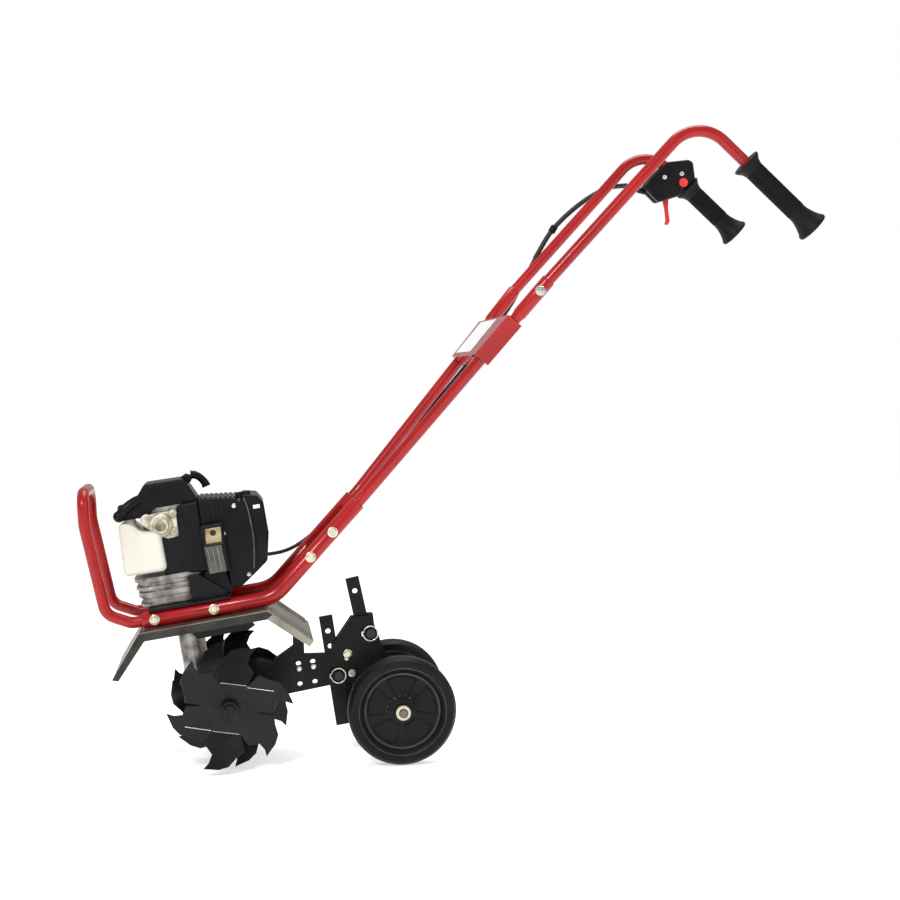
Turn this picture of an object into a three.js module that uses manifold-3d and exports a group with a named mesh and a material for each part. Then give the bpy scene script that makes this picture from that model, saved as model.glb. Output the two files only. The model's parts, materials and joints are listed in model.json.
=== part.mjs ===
// Petrol mini cultivator (tiller) with a front carry handle, two long handlebars and two transport wheels.
// Millimetres, +Z up. +X runs from the carry handle at the front to the grips at the rear, -Y is the
// operator's left. The last lines move the origin to the centre of the bounding box's bottom face.
import * as THREE from 'three';
import { mergeVertices } from 'three/addons/utils/BufferGeometryUtils.js';
import Module from 'manifold-3d';

const wasm = await Module();
wasm.setup();

// ---------------------------------------------------------------- driving dimensions

const GAP = 0.4;
const degrees = THREE.MathUtils.degToRad;

const TUBE_R = 9.5;
const TUBE_BORE = 7.9;
const FRAME_R = 12.7;
const FRAME_BORE = 10.7;
const FRAME_Y = 69;
const HANDLE_TOP_Y = 178;
const SPLICE_Y = 164;

// Side view of the frame, as [x, z].
const FRAME_NOSE = [92.3, 250];
const FRAME_KNEE = [305, 281];
const FRAME_END = [447, 435];
const HANDLE_FLARE = [458, 447];
const SPLICE = [742, 780];
const HANDLE_CROWN = [998.4, 1055];
const GRIP_START = [1078.2, 979.8];
const GRIP_TILT = 43.3;
const GRIP_LENGTH = 155;
const THROTTLE_GRIP_LENGTH = 125;
const GRIP_BORE_R = 9.95;
const CARRY_TOP = 460;

// The deck frame: u along the deck to the rear, w up the crankshaft's axis, both from this point.
const DECK_TILT = 8.3;
const DECK_AT = [161.1, 260];
const SHIELD_TOP = -13.2;
const SHIELD_HALF_WIDTH = 110;

const TINE_AXIS = [229.7, 106];
const TINE_APOTHEM = 40;
const TINE_TIP = [101.6, -29];
const TINE_PLATE = 4;
const TINE_BEND = 18;
const INNER_TINE_Y = 52;
const OUTER_TINE_Y = 100;
const SHAFT_R = 9.5;

const WORM_MODULE = 3;
const WHEEL_TEETH = 24;
const WHEEL_PITCH_R = WORM_MODULE * WHEEL_TEETH / 2;
const WORM_PITCH_R = 9.7;

const WHEEL_AXIS = [512.2, 90];
const WHEEL_R = 90;
const WHEEL_Y = 88;
const AXLE_R = 6.3;

// ---------------------------------------------------------------- materials

const paint = (color, roughness, metalness) => new THREE.MeshStandardMaterial({ color, roughness, metalness });
const RED = () => paint(0xb3161a, 0.35, 0.1);
const BLACK_PAINT = () => paint(0x15161a, 0.5, 0.2);
const BLACK_PLASTIC = () => paint(0x141517, 0.6, 0);
const ZINC = () => paint(0x6d6a61, 0.45, 0.7);
const STEEL = () => paint(0x9a9a9a, 0.35, 0.9);
const CAST = () => paint(0xb1ada2, 0.55, 0.7);
const BRONZE = () => paint(0xb08d4f, 0.4, 0.9);
const WHITE = () => paint(0xf1f0ea, 0.5, 0);
const RUBBER = () => paint(0x121212, 0.85, 0);

// ---------------------------------------------------------------- geometry helpers

function toSolid(geometry) {
  const plain = geometry.clone();
  plain.deleteAttribute('normal');
  plain.deleteAttribute('uv');
  const merged = mergeVertices(plain, 1e-4);
  return new wasm.Manifold(new wasm.Mesh({
    numProp: 3,
    vertProperties: new Float32Array(merged.attributes.position.array),
    triVerts: new Uint32Array(merged.index.array),
  }));
}

function fromSolid(solid) {
  const mesh = solid.getMesh();
  const geometry = new THREE.BufferGeometry();
  geometry.setAttribute('position', new THREE.BufferAttribute(mesh.vertProperties, 3));
  geometry.setIndex(new THREE.BufferAttribute(mesh.triVerts, 1));
  return geometry;
}

const join = (...parts) => fromSolid(parts.map(toSolid).reduce((sum, part) => sum.add(part)));

function cut(body, ...tools) {
  return fromSolid(tools.reduce((rest, tool) => rest.subtract(toSolid(tool)), toSolid(body)));
}

const overlap = (a, b) => fromSolid(toSolid(a).intersect(toSolid(b)));

function box(x0, x1, y0, y1, z0, z1) {
  return new THREE.BoxGeometry(x1 - x0, y1 - y0, z1 - z0).translate((x0 + x1) / 2, (y0 + y1) / 2, (z0 + z1) / 2);
}

function outline(points, holes = []) {
  const shape = new THREE.Shape(points.map(([x, y]) => new THREE.Vector2(x, y)));
  for (const hole of holes) shape.holes.push(new THREE.Path(hole.map(([x, y]) => new THREE.Vector2(x, y))));
  return shape;
}

function circle(x, y, radius, sides = 12) {
  return Array.from({ length: sides }, (_, i) => {
    const angle = (i + 0.5) / sides * 2 * Math.PI;
    return [x + radius * Math.cos(angle), y + radius * Math.sin(angle)];
  });
}

// A flat plate seen from above, between two heights.
function plan(points, z0, z1, holes = []) {
  const geometry = new THREE.ExtrudeGeometry(outline(points, holes), { depth: z1 - z0, bevelEnabled: false });
  return geometry.translate(0, 0, z0);
}

// A flat plate seen from the side, between two values of y.
function side(points, y0, y1, holes = []) {
  const geometry = new THREE.ExtrudeGeometry(outline(points, holes), { depth: y1 - y0, bevelEnabled: false });
  return geometry.rotateX(Math.PI / 2).translate(0, y1, 0);
}

// Revolves a profile of [radius, height] about the Y axis.
function turnedY(profile, sides = 16) {
  const onAxis = profile[0][0] === 0 && profile.at(-1)[0] === 0;
  const points = onAxis ? profile : [...profile, profile[0]];
  return new THREE.LatheGeometry(points.map(([r, h]) => new THREE.Vector2(r, h)), sides);
}

const turnedZ = (profile, sides) => turnedY(profile, sides).rotateX(Math.PI / 2);
const turnedX = (profile, sides) => turnedY(profile, sides).rotateZ(-Math.PI / 2);
const ring = (bore, radius, low, high) => [[bore, low], [radius, low], [radius, high], [bore, high]];
const disc = (radius, low, high) => [[0, low], [radius, low], [radius, high], [0, high]];

// A path of straight runs and round bends, sampled only where the tube bends.
class BentPath extends THREE.Curve {
  constructor(corners, bendRadius, arcSteps) {
    super();
    this.stations = [];
    const last = corners.length - 1;
    const direction = (i) => corners[i + 1].clone().sub(corners[i]).normalize();
    this.stations.push({ point: corners[0], tangent: direction(0) });
    for (let i = 1; i < last; i += 1) {
      this.addBend(corners[i], direction(i - 1), direction(i), bendRadius[i - 1], arcSteps);
    }
    this.stations.push({ point: corners[last], tangent: direction(last - 1) });
  }

  addBend(corner, before, after, radius, arcSteps) {
    const angle = before.angleTo(after);
    const inset = radius * Math.tan(angle / 2);
    const normal = after.clone().sub(before.clone().multiplyScalar(before.dot(after))).normalize();
    const start = corner.clone().addScaledVector(before, -inset);
    const steps = Math.max(2, Math.ceil(arcSteps * angle / (Math.PI / 2)));
    for (let k = 0; k <= steps; k += 1) {
      const turn = angle * k / steps;
      const point = start.clone()
        .addScaledVector(before, radius * Math.sin(turn))
        .addScaledVector(normal, radius * (1 - Math.cos(turn)));
      const tangent = before.clone().multiplyScalar(Math.cos(turn)).addScaledVector(normal, Math.sin(turn));
      this.stations.push({ point, tangent });
    }
  }

  station(t) {
    return this.stations[Math.round(t * (this.stations.length - 1))];
  }

  getPointAt(t, target = new THREE.Vector3()) {
    return target.copy(this.station(t).point);
  }

  getTangentAt(t, target = new THREE.Vector3()) {
    return target.copy(this.station(t).tangent).normalize();
  }
}

function sweep(path, radius, bore, sides = 10) {
  const section = outline(circle(0, 0, radius, sides), bore ? [circle(0, 0, bore, 8)] : []);
  const steps = path.stations.length - 1;
  return new THREE.ExtrudeGeometry(section, { steps, extrudePath: path, bevelEnabled: false });
}

const at = ([x, z], y) => new THREE.Vector3(x, y, z);

// Places a shape turned about the Z axis so that it starts at a point and points along a direction.
function along(geometry, start, direction) {
  const up = new THREE.Vector3(0, 0, 1);
  const turn = new THREE.Quaternion().setFromUnitVectors(up, direction);
  return geometry.applyQuaternion(turn).translate(start.x, start.y, start.z);
}

// ---------------------------------------------------------------- assembly groups

const machine = new THREE.Group();
const deck = new THREE.Group();
deck.position.set(DECK_AT[0], 0, DECK_AT[1]);
deck.rotation.y = degrees(-DECK_TILT);
machine.add(deck);

function add(parent, name, geometry, material) {
  const mesh = new THREE.Mesh(geometry, material);
  mesh.name = name;
  parent.add(mesh);
}

// A point of the deck frame in the machine's side view.
function deckPoint(u, w) {
  const [cos, sin] = [Math.cos(degrees(DECK_TILT)), Math.sin(degrees(DECK_TILT))];
  return [DECK_AT[0] + u * cos - w * sin, DECK_AT[1] + u * sin + w * cos];
}

// ---------------------------------------------------------------- frame and handlebars

function carryHandlePath() {
  const half = [at([126, 254.9], FRAME_Y), at([74, 247.2], FRAME_Y), at([33, 262], FRAME_Y), at([2, 408], FRAME_Y),
    at([0, CARRY_TOP], FRAME_Y)];
  const mirrored = half.map((p) => new THREE.Vector3(p.x, -p.y, p.z)).reverse();
  return new BentPath([...half, ...mirrored], [30, 26, 60, 28, 28, 60, 26, 30], 4);
}

function frameTube(sign) {
  return new BentPath([FRAME_NOSE, FRAME_KNEE, FRAME_END].map((point) => at(point, sign * FRAME_Y)), [62], 8);
}

const SLEEVE_FROM = 386;
const SLEEVE_LENGTH = 71;
const SLEEVE_R = 11.3;
const SLEEVE_BORE_R = 9.95;
const HANDLE_RISE = at(SPLICE, SPLICE_Y).sub(at(HANDLE_FLARE, FRAME_Y)).normalize();
const SLEEVE_START = at(HANDLE_FLARE, FRAME_Y).addScaledVector(HANDLE_RISE, SLEEVE_FROM);
const GRIP_AXIS = new THREE.Vector3(Math.cos(degrees(GRIP_TILT)), 0, -Math.sin(degrees(GRIP_TILT)));
const onHandle = (distance) => SLEEVE_START.clone().addScaledVector(HANDLE_RISE, distance);

// The lower handlebar sits inside the frame tube and ends in a swaged sleeve for the upper one.
function lowerHandle() {
  const start = [FRAME_END[0] - 61, FRAME_END[1] - 66.1];
  const path = new BentPath([at(start, FRAME_Y), at(HANDLE_FLARE, FRAME_Y), onHandle(2)], [60], 8);
  const profile = [[TUBE_BORE, 0], [SLEEVE_R, 0], [SLEEVE_R, SLEEVE_LENGTH], [SLEEVE_BORE_R, SLEEVE_LENGTH],
    [SLEEVE_BORE_R, 4], [TUBE_BORE, 4]];
  return join(sweep(path, TUBE_R, TUBE_BORE), along(turnedZ(profile, 16), SLEEVE_START, HANDLE_RISE));
}

function upperHandlePath(gripLength) {
  const tubeEnd = at(GRIP_START, HANDLE_TOP_Y).addScaledVector(GRIP_AXIS, gripLength - 12);
  const crown = at(HANDLE_CROWN, HANDLE_TOP_Y);
  const corners = [onHandle(5), onHandle(SLEEVE_LENGTH + 6), at([907, 957], 174), crown, tubeEnd];
  return new BentPath(corners, [60, 120, 59], 6);
}

// The left-hand twin of a piece, with its faces still pointing out.
function mirrorY(geometry) {
  const flipped = geometry.scale(1, -1, 1);
  const index = flipped.index;
  if (!index) {
    const { array } = flipped.attributes.position;
    for (let i = 0; i < array.length; i += 9) {
      for (let k = 0; k < 3; k += 1) [array[i + 3 + k], array[i + 6 + k]] = [array[i + 6 + k], array[i + 3 + k]];
    }
    return flipped;
  }
  for (let i = 0; i < index.count; i += 3) {
    const second = index.getX(i + 1);
    index.setX(i + 1, index.getX(i + 2));
    index.setX(i + 2, second);
  }
  return flipped;
}

function addFrame() {
  add(machine, 'front_carry_handle', sweep(carryHandlePath(), TUBE_R, TUBE_BORE), RED());
  add(machine, 'frame_tube_left', sweep(frameTube(-1), FRAME_R, FRAME_BORE), RED());
  add(machine, 'frame_tube_right', sweep(frameTube(1), FRAME_R, FRAME_BORE), RED());
  add(machine, 'handle_lower_left', mirrorY(lowerHandle()), RED());
  add(machine, 'handle_lower_right', lowerHandle(), RED());
  add(machine, 'handle_upper_left', mirrorY(sweep(upperHandlePath(GRIP_LENGTH), TUBE_R, TUBE_BORE)), RED());
  add(machine, 'handle_upper_right', sweep(upperHandlePath(THROTTLE_GRIP_LENGTH), TUBE_R, TUBE_BORE), RED());
}

// ---------------------------------------------------------------- cross braces between the tubes

const LOWER_BRACE_AT = [400, 384];
const MIDDLE_BRACE_AT = [672, 698];

function plateAlongHandle(geometry, [x, z], slope) {
  return geometry.rotateY(-degrees(slope)).translate(x, 0, z);
}

function addBraces() {
  const plate = plan([[-46, -56], [46, -56], [46, 56], [-46, 56]], -1.25, 1.25,
    [[[-2, -30], [22, -30], [22, 30], [-2, 30]]]);
  const flanges = [-1, 1].map((sign) => box(-46, 46, sign > 0 ? 53.5 : -56, sign > 0 ? 56 : -53.5, -9, 9));
  add(machine, 'lower_cross_brace', plateAlongHandle(join(plate, ...flanges), LOWER_BRACE_AT, 47.3), RED());

  const slope = 49.5;
  const top = plan([[-41, -144.8], [41, -162.6], [41, 162.6], [-41, 144.8]], 12.2, 14.2);
  const cheek = () => plan([[-41, 142.8], [41, 160.6], [41, 162.6], [-41, 144.8]], -14, 14.2);
  const cheeks = [cheek(), mirrorY(cheek())];
  const lip = box(-43, -41, -118, 118, -8, 14.2);
  add(machine, 'middle_cross_brace', plateAlongHandle(join(top, lip, ...cheeks), MIDDLE_BRACE_AT, slope), RED());
  const label = box(-34, 36, -62, 118, 14.6, 15.2);
  add(machine, 'brace_label', plateAlongHandle(label, MIDDLE_BRACE_AT, slope), WHITE());
}

// ---------------------------------------------------------------- deck: shield, engine mount, gearbox

const SHEET = 2;
const RIM_DROP = 12;

function addShield() {
  const front = -76;
  const rear = 133;
  const surface = [[-130, -80], [front, SHIELD_TOP], [rear, SHIELD_TOP], [198, -76]];
  const under = [[196.5, -77.4], [rear - 1, SHIELD_TOP - SHEET], [front + 1, SHIELD_TOP - SHEET], [-128.4, -81]];
  const sheet = side([...surface, ...under], -SHIELD_HALF_WIDTH, SHIELD_HALF_WIDTH);
  const rims = [-1, 1].map((sign) => {
    const [y0, y1] = [sign * SHIELD_HALF_WIDTH, sign * (SHIELD_HALF_WIDTH - SHEET)].sort((a, b) => a - b);
    const edge = SHIELD_TOP - RIM_DROP;
    const lower = [[196.5, -77.4], [190, -84], [rear - 6, edge], [front + 6, edge], [-121, -82], [-128.4, -81]];
    return side([...surface, ...lower], y0, y1);
  });
  const shaftHole = turnedZ(disc(27, -20, -8), 18);
  add(deck, 'tine_shield', cut(join(sheet, ...rims), shaftHole), ZINC());
}

function addEngineMount() {
  const plate = plan([[-58, -80], [76, -80], [76, 80], [-58, 80]], 13.2, 17.2, [circle(0, 0, 32, 24)]);
  const cheek = [[14, 16], [74, 16], [70, 26], [32, 58], [14, 58]];
  const cheeks = [side(cheek, -64, -59), side(cheek, 59, 64)];
  add(deck, 'engine_mount', join(plate, ...cheeks), BLACK_PAINT());
}

const WHEEL_U = 45.7;
const WORM_W = -162.3;

function addGearbox() {
  const column = turnedZ(disc(22, -150, 12.8), 18);
  const flange = turnedZ(disc(30, 4, 12.8), 18);
  const drumRoom = turnedY(disc(46, -19, 19), 22).translate(WHEEL_U, 0, WORM_W);
  const wormNose = turnedZ(disc(19, -203, -120), 18);
  const bosses = turnedY(disc(20, -31, 31), 18).translate(WHEEL_U, 0, WORM_W);
  const body = join(column, flange, drumRoom, wormNose, bosses);
  const wheelRoom = turnedY(disc(40.5, -11, 11), 22).translate(WHEEL_U, 0, WORM_W);
  const wormRoom = turnedZ(disc(14, -190, -52), 16);
  const shaftBore = turnedZ(disc(8, -197, 20), 16);
  const bearingSeat = turnedZ(disc(16, -46, 20), 16);
  const shaftSeats = turnedY(disc(16, -32, 32), 16).translate(WHEEL_U, 0, WORM_W);
  const hollow = cut(body, wheelRoom, wormRoom, shaftBore, bearingSeat, shaftSeats);
  const left = box(-60, 120, -80, -GAP / 2, -240, 40);
  const right = box(-60, 120, GAP / 2, 80, -240, 40);
  add(deck, 'gearbox_half_left', overlap(hollow, left), CAST());
  add(deck, 'gearbox_half_right', overlap(hollow, right), CAST());

  add(deck, 'worm_shaft_bearing', turnedZ(ring(6.5, 15.6, -44, -34), 16), STEEL());
  for (const [name, sign] of [['left', -1], ['right', 1]]) {
    const bearing = turnedY(ring(SHAFT_R + GAP, 15.6, 13, 23), 16).translate(WHEEL_U, 0, WORM_W);
    const seal = turnedY(ring(SHAFT_R + GAP, 15.6, 24, 30), 16).translate(WHEEL_U, 0, WORM_W);
    add(deck, `tine_shaft_bearing_${name}`, sign < 0 ? mirrorY(bearing) : bearing, STEEL());
    add(deck, `tine_shaft_seal_${name}`, sign < 0 ? mirrorY(seal) : seal, RUBBER());
  }
}

// ---------------------------------------------------------------- worm drive

// The worm is single start and right handed, with its thread on the pitch line at the wheel's side.
function addWorm() {
  const lead = Math.PI * WORM_MODULE;
  const threadTurns = 2.5;
  class Helix extends THREE.Curve {
    getPoint(t, target = new THREE.Vector3()) {
      const angle = (t - 0.5) * threadTurns * 2 * Math.PI;
      const rise = lead * angle / (2 * Math.PI);
      return target.set(WORM_PITCH_R * Math.cos(angle), WORM_PITCH_R * Math.sin(angle), WORM_W + rise);
    }
  }
  const thread = new THREE.ExtrudeGeometry(outline([[-2.4, -0.7], [2.4, -0.7], [2.4, 0.7], [-2.4, 0.7]]),
    { steps: 24, extrudePath: new Helix(), bevelEnabled: false });
  const shaft = turnedZ([[0, -195], [6, -195], [6, WORM_W - 19], [7.6, WORM_W - 18], [7.6, WORM_W + 18],
    [6, WORM_W + 19], [6, 24], [0, 24]], 20);
  add(deck, 'worm_shaft', join(shaft, thread), STEEL());
  const drum = [[6.4, 20], [40.5, 20], [40.5, 50], [38, 50], [38, 23], [6.4, 23]];
  add(deck, 'clutch_drum', turnedZ(drum, 32), STEEL());
}

function addWormWheel() {
  const root = WHEEL_PITCH_R - 3;
  const tip = WHEEL_PITCH_R + 1.7;
  const points = [];
  for (let i = 0; i < WHEEL_TEETH; i += 1) {
    const middle = Math.PI + (i + 0.5) / WHEEL_TEETH * 2 * Math.PI;
    for (const [radius, halfWidth] of [[root, 2.2], [tip, 1], [tip, -1], [root, -2.2]]) {
      const angle = middle - halfWidth / radius;
      points.push([radius * Math.cos(angle), radius * Math.sin(angle)]);
    }
  }
  const gear = side(points, -5, 5, [circle(0, 0, SHAFT_R + GAP, 24)]);
  gear.translate(WHEEL_U, 0, WORM_W);
  add(deck, 'worm_wheel', gear, BRONZE());
}

// ---------------------------------------------------------------- tines

// One claw of a tine: it grows out of one side of a hexagonal hub plate, is bent along that side, and its
// tip hooks the way the tines turn.
function claw(bendSign) {
  const flat = side([[38, 22], [38, -23], [64, -31], [77, -18.5], [92, -22], TINE_TIP, [100.5, -4], [94, 11],
    [78, 22], [66, 34]].reverse(), -TINE_PLATE / 2, TINE_PLATE / 2);
  return flat.translate(-TINE_APOTHEM, 0, 0).rotateZ(bendSign * degrees(TINE_BEND)).translate(TINE_APOTHEM, 0, 0);
}

// tipAngle is where the first tip points, from the rear upwards.
function tine(y, hubLow, hubHigh, tipAngle) {
  const radius = TINE_APOTHEM / Math.cos(degrees(30));
  const hexagon = Array.from({ length: 6 }, (_, i) => {
    const angle = degrees(60 * i + 30);
    return [radius * Math.cos(angle), radius * Math.sin(angle)];
  });
  const plate = side(hexagon, -TINE_PLATE / 2, TINE_PLATE / 2);
  const claws = Array.from({ length: 6 }, (_, i) => claw(i % 2 ? 1 : -1).rotateY(degrees(60 * i)));
  const tipLag = Math.atan2(TINE_TIP[1], TINE_TIP[0]);
  const star = join(plate, ...claws).rotateY(tipLag - degrees(tipAngle)).translate(0, y, 0);
  const hub = turnedY(disc(15, hubLow, hubHigh), 12);
  const bore = turnedY(disc(SHAFT_R + 0.7, -200, 200), 12);
  return cut(join(star, hub), bore).translate(TINE_AXIS[0], 0, TINE_AXIS[1]);
}

function addTines() {
  const shaft = turnedY(disc(SHAFT_R, -127, 127), 16).translate(TINE_AXIS[0], 0, TINE_AXIS[1]);
  add(machine, 'tine_shaft', shaft, STEEL());
  add(machine, 'tine_left_outer', tine(-OUTER_TINE_Y, -122, -88, 5), BLACK_PAINT());
  add(machine, 'tine_left_inner', tine(-INNER_TINE_Y, -80, -33, 34), BLACK_PAINT());
  add(machine, 'tine_right_inner', tine(INNER_TINE_Y, 33, 80, 34), BLACK_PAINT());
  add(machine, 'tine_right_outer', tine(OUTER_TINE_Y, 88, 122, 5), BLACK_PAINT());
}

// ---------------------------------------------------------------- rear hitch, stakes and wheels

const UPPER_PIN = [467.7, 208];
const LOWER_PIN = [412.3, 138.2];
const PIN_R = 4;
const PIN_HOLE_R = 4.5;
const STAKE_HALF = 11.4;
const STAKE_HOLE_R = 4.6;

function addHitch() {
  const plate = [[277, 100], [341, 110.9], [424, 124.8], [424, 175], [356, 175], [355, 213], [337, 226],
    [337, 190], [300, 165], [277, 148]];
  const boltHoles = [[345.7, 158.8], [369.9, 161.6], [347.8, 124.1], [373.1, 127.2]];
  const holes = [circle(...LOWER_PIN, PIN_HOLE_R), ...boltHoles.map(([x, z]) => circle(x, z, STAKE_HOLE_R))];
  const plates = [side(plate, -6.4, -3.4, holes), side(plate, 3.4, 6.4, holes)];
  const web = box(279, 296, -4, 4, 112, 134);
  add(machine, 'hitch_bracket', join(...plates, web), BLACK_PAINT());
}

// A flat bar along a line in the side view, with holes along its middle and a notch for its locking pin.
function flatBar(top, bottom, holes, pin) {
  const axis = new THREE.Vector2(bottom[0] - top[0], bottom[1] - top[1]).normalize();
  const across = new THREE.Vector2(-axis.y, axis.x);
  const corner = ([x, z], sign) => [x + sign * STAKE_HALF * across.x, z + sign * STAKE_HALF * across.y];
  const shape = [corner(top, -1), corner(bottom, -1), corner(bottom, 1), corner(top, 1)];
  const hole = (distance) => circle(top[0] + distance * axis.x, top[1] + distance * axis.y, STAKE_HOLE_R);
  const notch = turnedY(disc(PIN_HOLE_R, -5, 5), 12).translate(pin[0], 0, pin[1]);
  return cut(side(shape, -3, 3, holes.map(hole)), notch);
}

function addStakes() {
  add(machine, 'drag_stake', flatBar([392.9, 238.5], [419.5, 52], [26.6, 52.5], LOWER_PIN), BLACK_PAINT());
  add(machine, 'wheel_bar', flatBar([438.8, 302.3], [474.5, 128], [23.5], UPPER_PIN), BLACK_PAINT());
}

const BRACKET_IN = 6.9;
const BRACKET_OUT = 9.9;

function addWheelBracket() {
  const [x, z] = WHEEL_AXIS;
  const plate = [[402, 188], [410.5, 200.4], [436, 236.5], [463.6, 236.5], [463.6, 240.5], [473, 240.8],
    [475, 222], [483, 201.5], [487, 186], [x + 18, z + 12], [x + 14, z - 12], [x - 10, z - 15], [x - 34, z + 8],
    [440, 124], [402, 122]];
  const axleHole = circle(x, z, AXLE_R + GAP);
  const holes = [circle(...UPPER_PIN, PIN_HOLE_R), circle(...LOWER_PIN, PIN_HOLE_R), axleHole];
  const plates = [side(plate, -BRACKET_OUT, -BRACKET_IN, holes), side(plate, BRACKET_IN, BRACKET_OUT, holes)];
  const boss = turnedY(ring(AXLE_R + GAP, 12, -BRACKET_IN - 0.5, BRACKET_IN + 0.5), 12).translate(x, 0, z);
  add(machine, 'wheel_bracket', join(...plates, boss), BLACK_PAINT());
}

function hitchPin([x, z]) {
  const shank = turnedY(disc(PIN_R, -16, 15), 14);
  const head = turnedY(disc(8, -22, -14), 18);
  const pull = new THREE.TorusGeometry(12.2, 1.4, 5, 16).rotateX(Math.PI / 2).translate(0, -18, 0);
  const cross = new THREE.CylinderGeometry(1.5, 1.5, 24.4, 8).rotateZ(Math.PI / 2).translate(0, -18, 0);
  return join(shank, head, pull, cross).translate(x, 0, z);
}

function addWheels() {
  const [x, z] = WHEEL_AXIS;
  add(machine, 'hitch_pin_upper', hitchPin(UPPER_PIN), STEEL());
  add(machine, 'hitch_pin_lower', hitchPin(LOWER_PIN), STEEL());
  add(machine, 'wheel_axle', turnedY(disc(AXLE_R, -121, 121), 16).translate(x, 0, z), ZINC());
  const half = 19;
  const profile = [[AXLE_R + GAP, -27], [12, -27], [14, -12], [30, -9], [62, -10], [70, -half + 1], [84, -half],
    [WHEEL_R, -half + 8], [WHEEL_R, half - 8], [84, half], [70, half - 1], [62, 6], [30, 6], [14, 12],
    [12, 24], [AXLE_R + GAP, 24]];
  for (const [name, sign] of [['left', -1], ['right', 1]]) {
    const wheel = turnedY(profile, 36);
    if (sign > 0) mirrorY(wheel);
    add(machine, `wheel_${name}`, wheel.translate(x, sign * WHEEL_Y, z), RUBBER());
  }
}

// ---------------------------------------------------------------- engine, in the deck frame

const CYLINDER_W = 98;

function addClutchHousing() {
  const near = [[-76, -18], [-70, -40], [-52, -55], [10, -56], [30, -50], [48, -36], [50, 0]];
  const far = near.slice(0, -1).map(([u, y]) => [u, -y]).reverse();
  const body = plan([...near, ...far], 17.7, 66);
  const drumRoom = turnedZ(disc(43, 10, 54), 16);
  const crankBore = turnedZ(disc(9, 50, 70), 16);
  add(deck, 'clutch_housing', cut(body, drumRoom, crankBore), CAST());
}

function addCrankcase() {
  const block = box(-26, 46.5, -38, 38, 66.5, 141);
  const fanRing = turnedZ(ring(44, 48, 139, 177), 16);
  const crankRoom = turnedZ(disc(23, 80, 116), 18);
  const shaftBore = turnedZ(disc(9, 60, 145), 16);
  const rodDoor = box(0, 60, -14, 14, 82, 114);
  add(deck, 'crankcase', cut(join(block, fanRing), crankRoom, shaftBore, rodDoor), CAST());
}

function addCrankTrain() {
  const lower = turnedZ([[0, 25], [7.5, 25], [7.5, 84], [20, 84], [20, 92], [0, 92]], 24);
  const upper = turnedZ([[0, 104], [20, 104], [20, 112], [7.5, 112], [7.5, 204], [0, 204]], 24);
  const crankPin = turnedZ(disc(5, 90, 106), 12).translate(-13, 0, 0);
  add(deck, 'crankshaft', join(lower, upper, crankPin), STEEL());

  const rotor = turnedZ(ring(7.9, 36.4, 27, 45), 16);
  const gaps = [0, 120, 240].map((angle) => box(18, 40, -2, 2, 26, 46).rotateZ(degrees(angle)));
  add(deck, 'clutch_rotor', cut(rotor, ...gaps), STEEL());

  const rim = turnedZ([[7.9, 146], [36, 146], [42, 150], [42, 158], [7.9, 158]], 36);
  const blades = Array.from({ length: 10 }, (_, i) => box(20, 40, -1.2, 1.2, 157, 172).rotateZ(degrees(36 * i)));
  add(deck, 'flywheel', join(rim, ...blades), CAST());
}

function addCylinder() {
  const profile = [[17.2, 47], [24, 47], [24, 58]];
  for (let i = 0; i < 4; i += 1) {
    const start = 58 + i * 14.25;
    profile.push([35, start], [35, start + 3.5], [24, start + 3.5], [24, start + 14.25]);
  }
  profile.push([30, 115], [30, 126], [5.2, 126], [5.2, 118], [17.2, 118]);
  add(deck, 'cylinder', turnedX(profile, 16).translate(0, 0, CYLINDER_W), CAST());
  const crown = [[0, 80], [12.5, 80], [12.5, 60], [16.8, 60], [16.8, 85], [0, 85]];
  add(deck, 'piston', turnedX(crown, 24).translate(0, 0, CYLINDER_W), CAST());
  const rod = box(30, 66, -4, 4, CYLINDER_W - 3, CYLINDER_W + 3);
  const bigEnd = turnedZ(ring(5.4, 9, CYLINDER_W - 4, CYLINDER_W + 4), 18).translate(30, 0, 0);
  const eye = turnedZ(disc(5.4, CYLINDER_W - 9, CYLINDER_W + 9), 18).translate(30, 0, 0);
  const smallEnd = turnedY(ring(3.5, 7, -5, 5), 16).translate(70, 0, CYLINDER_W);
  add(deck, 'connecting_rod', join(cut(rod, eye), bigEnd, smallEnd), STEEL());
  const plug = [[0, 119], [4.8, 119], [4.8, 126.5], [10, 127], [10, 134], [5, 135], [5, 148], [0, 148]];
  add(deck, 'spark_plug', turnedX(plug, 14).translate(0, 0, CYLINDER_W), WHITE());
}

function addShroud() {
  const outer = [[51.5, 181], [112, 172.5], [122, 176], [146, 171], [155, 157], [155.5, 107], [146, 61],
    [126, 46], [97, 26], [78, 26], [74, 50], [51.5, 58]];
  const inner = [[30, 179], [112, 169], [122, 172], [144, 168], [151.5, 155], [152, 107], [143, 63],
    [124, 49.5], [97, 30], [82, 30], [78, 53], [30, 61.5]];
  const shell = cut(side(outer, -56, 56), side(inner, -53, 53));
  add(deck, 'engine_shroud', shell, BLACK_PLASTIC());
}

function addMuffler() {
  add(deck, 'muffler', box(44, 84, -78, -56.5, 60, 140), ZINC());
  const slots = [0, 1, 2, 3, 4].map((i) => {
    const low = 68 + i * 8;
    return [[50, low], [76, low], [76, low + 4], [50, low + 4]];
  });
  add(deck, 'muffler_guard', side([[42, 60], [86, 60], [86, 140], [42, 140]], -81, -78.6, slots), ZINC());
}

const FILLER_AT = [-67, -25];

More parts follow.
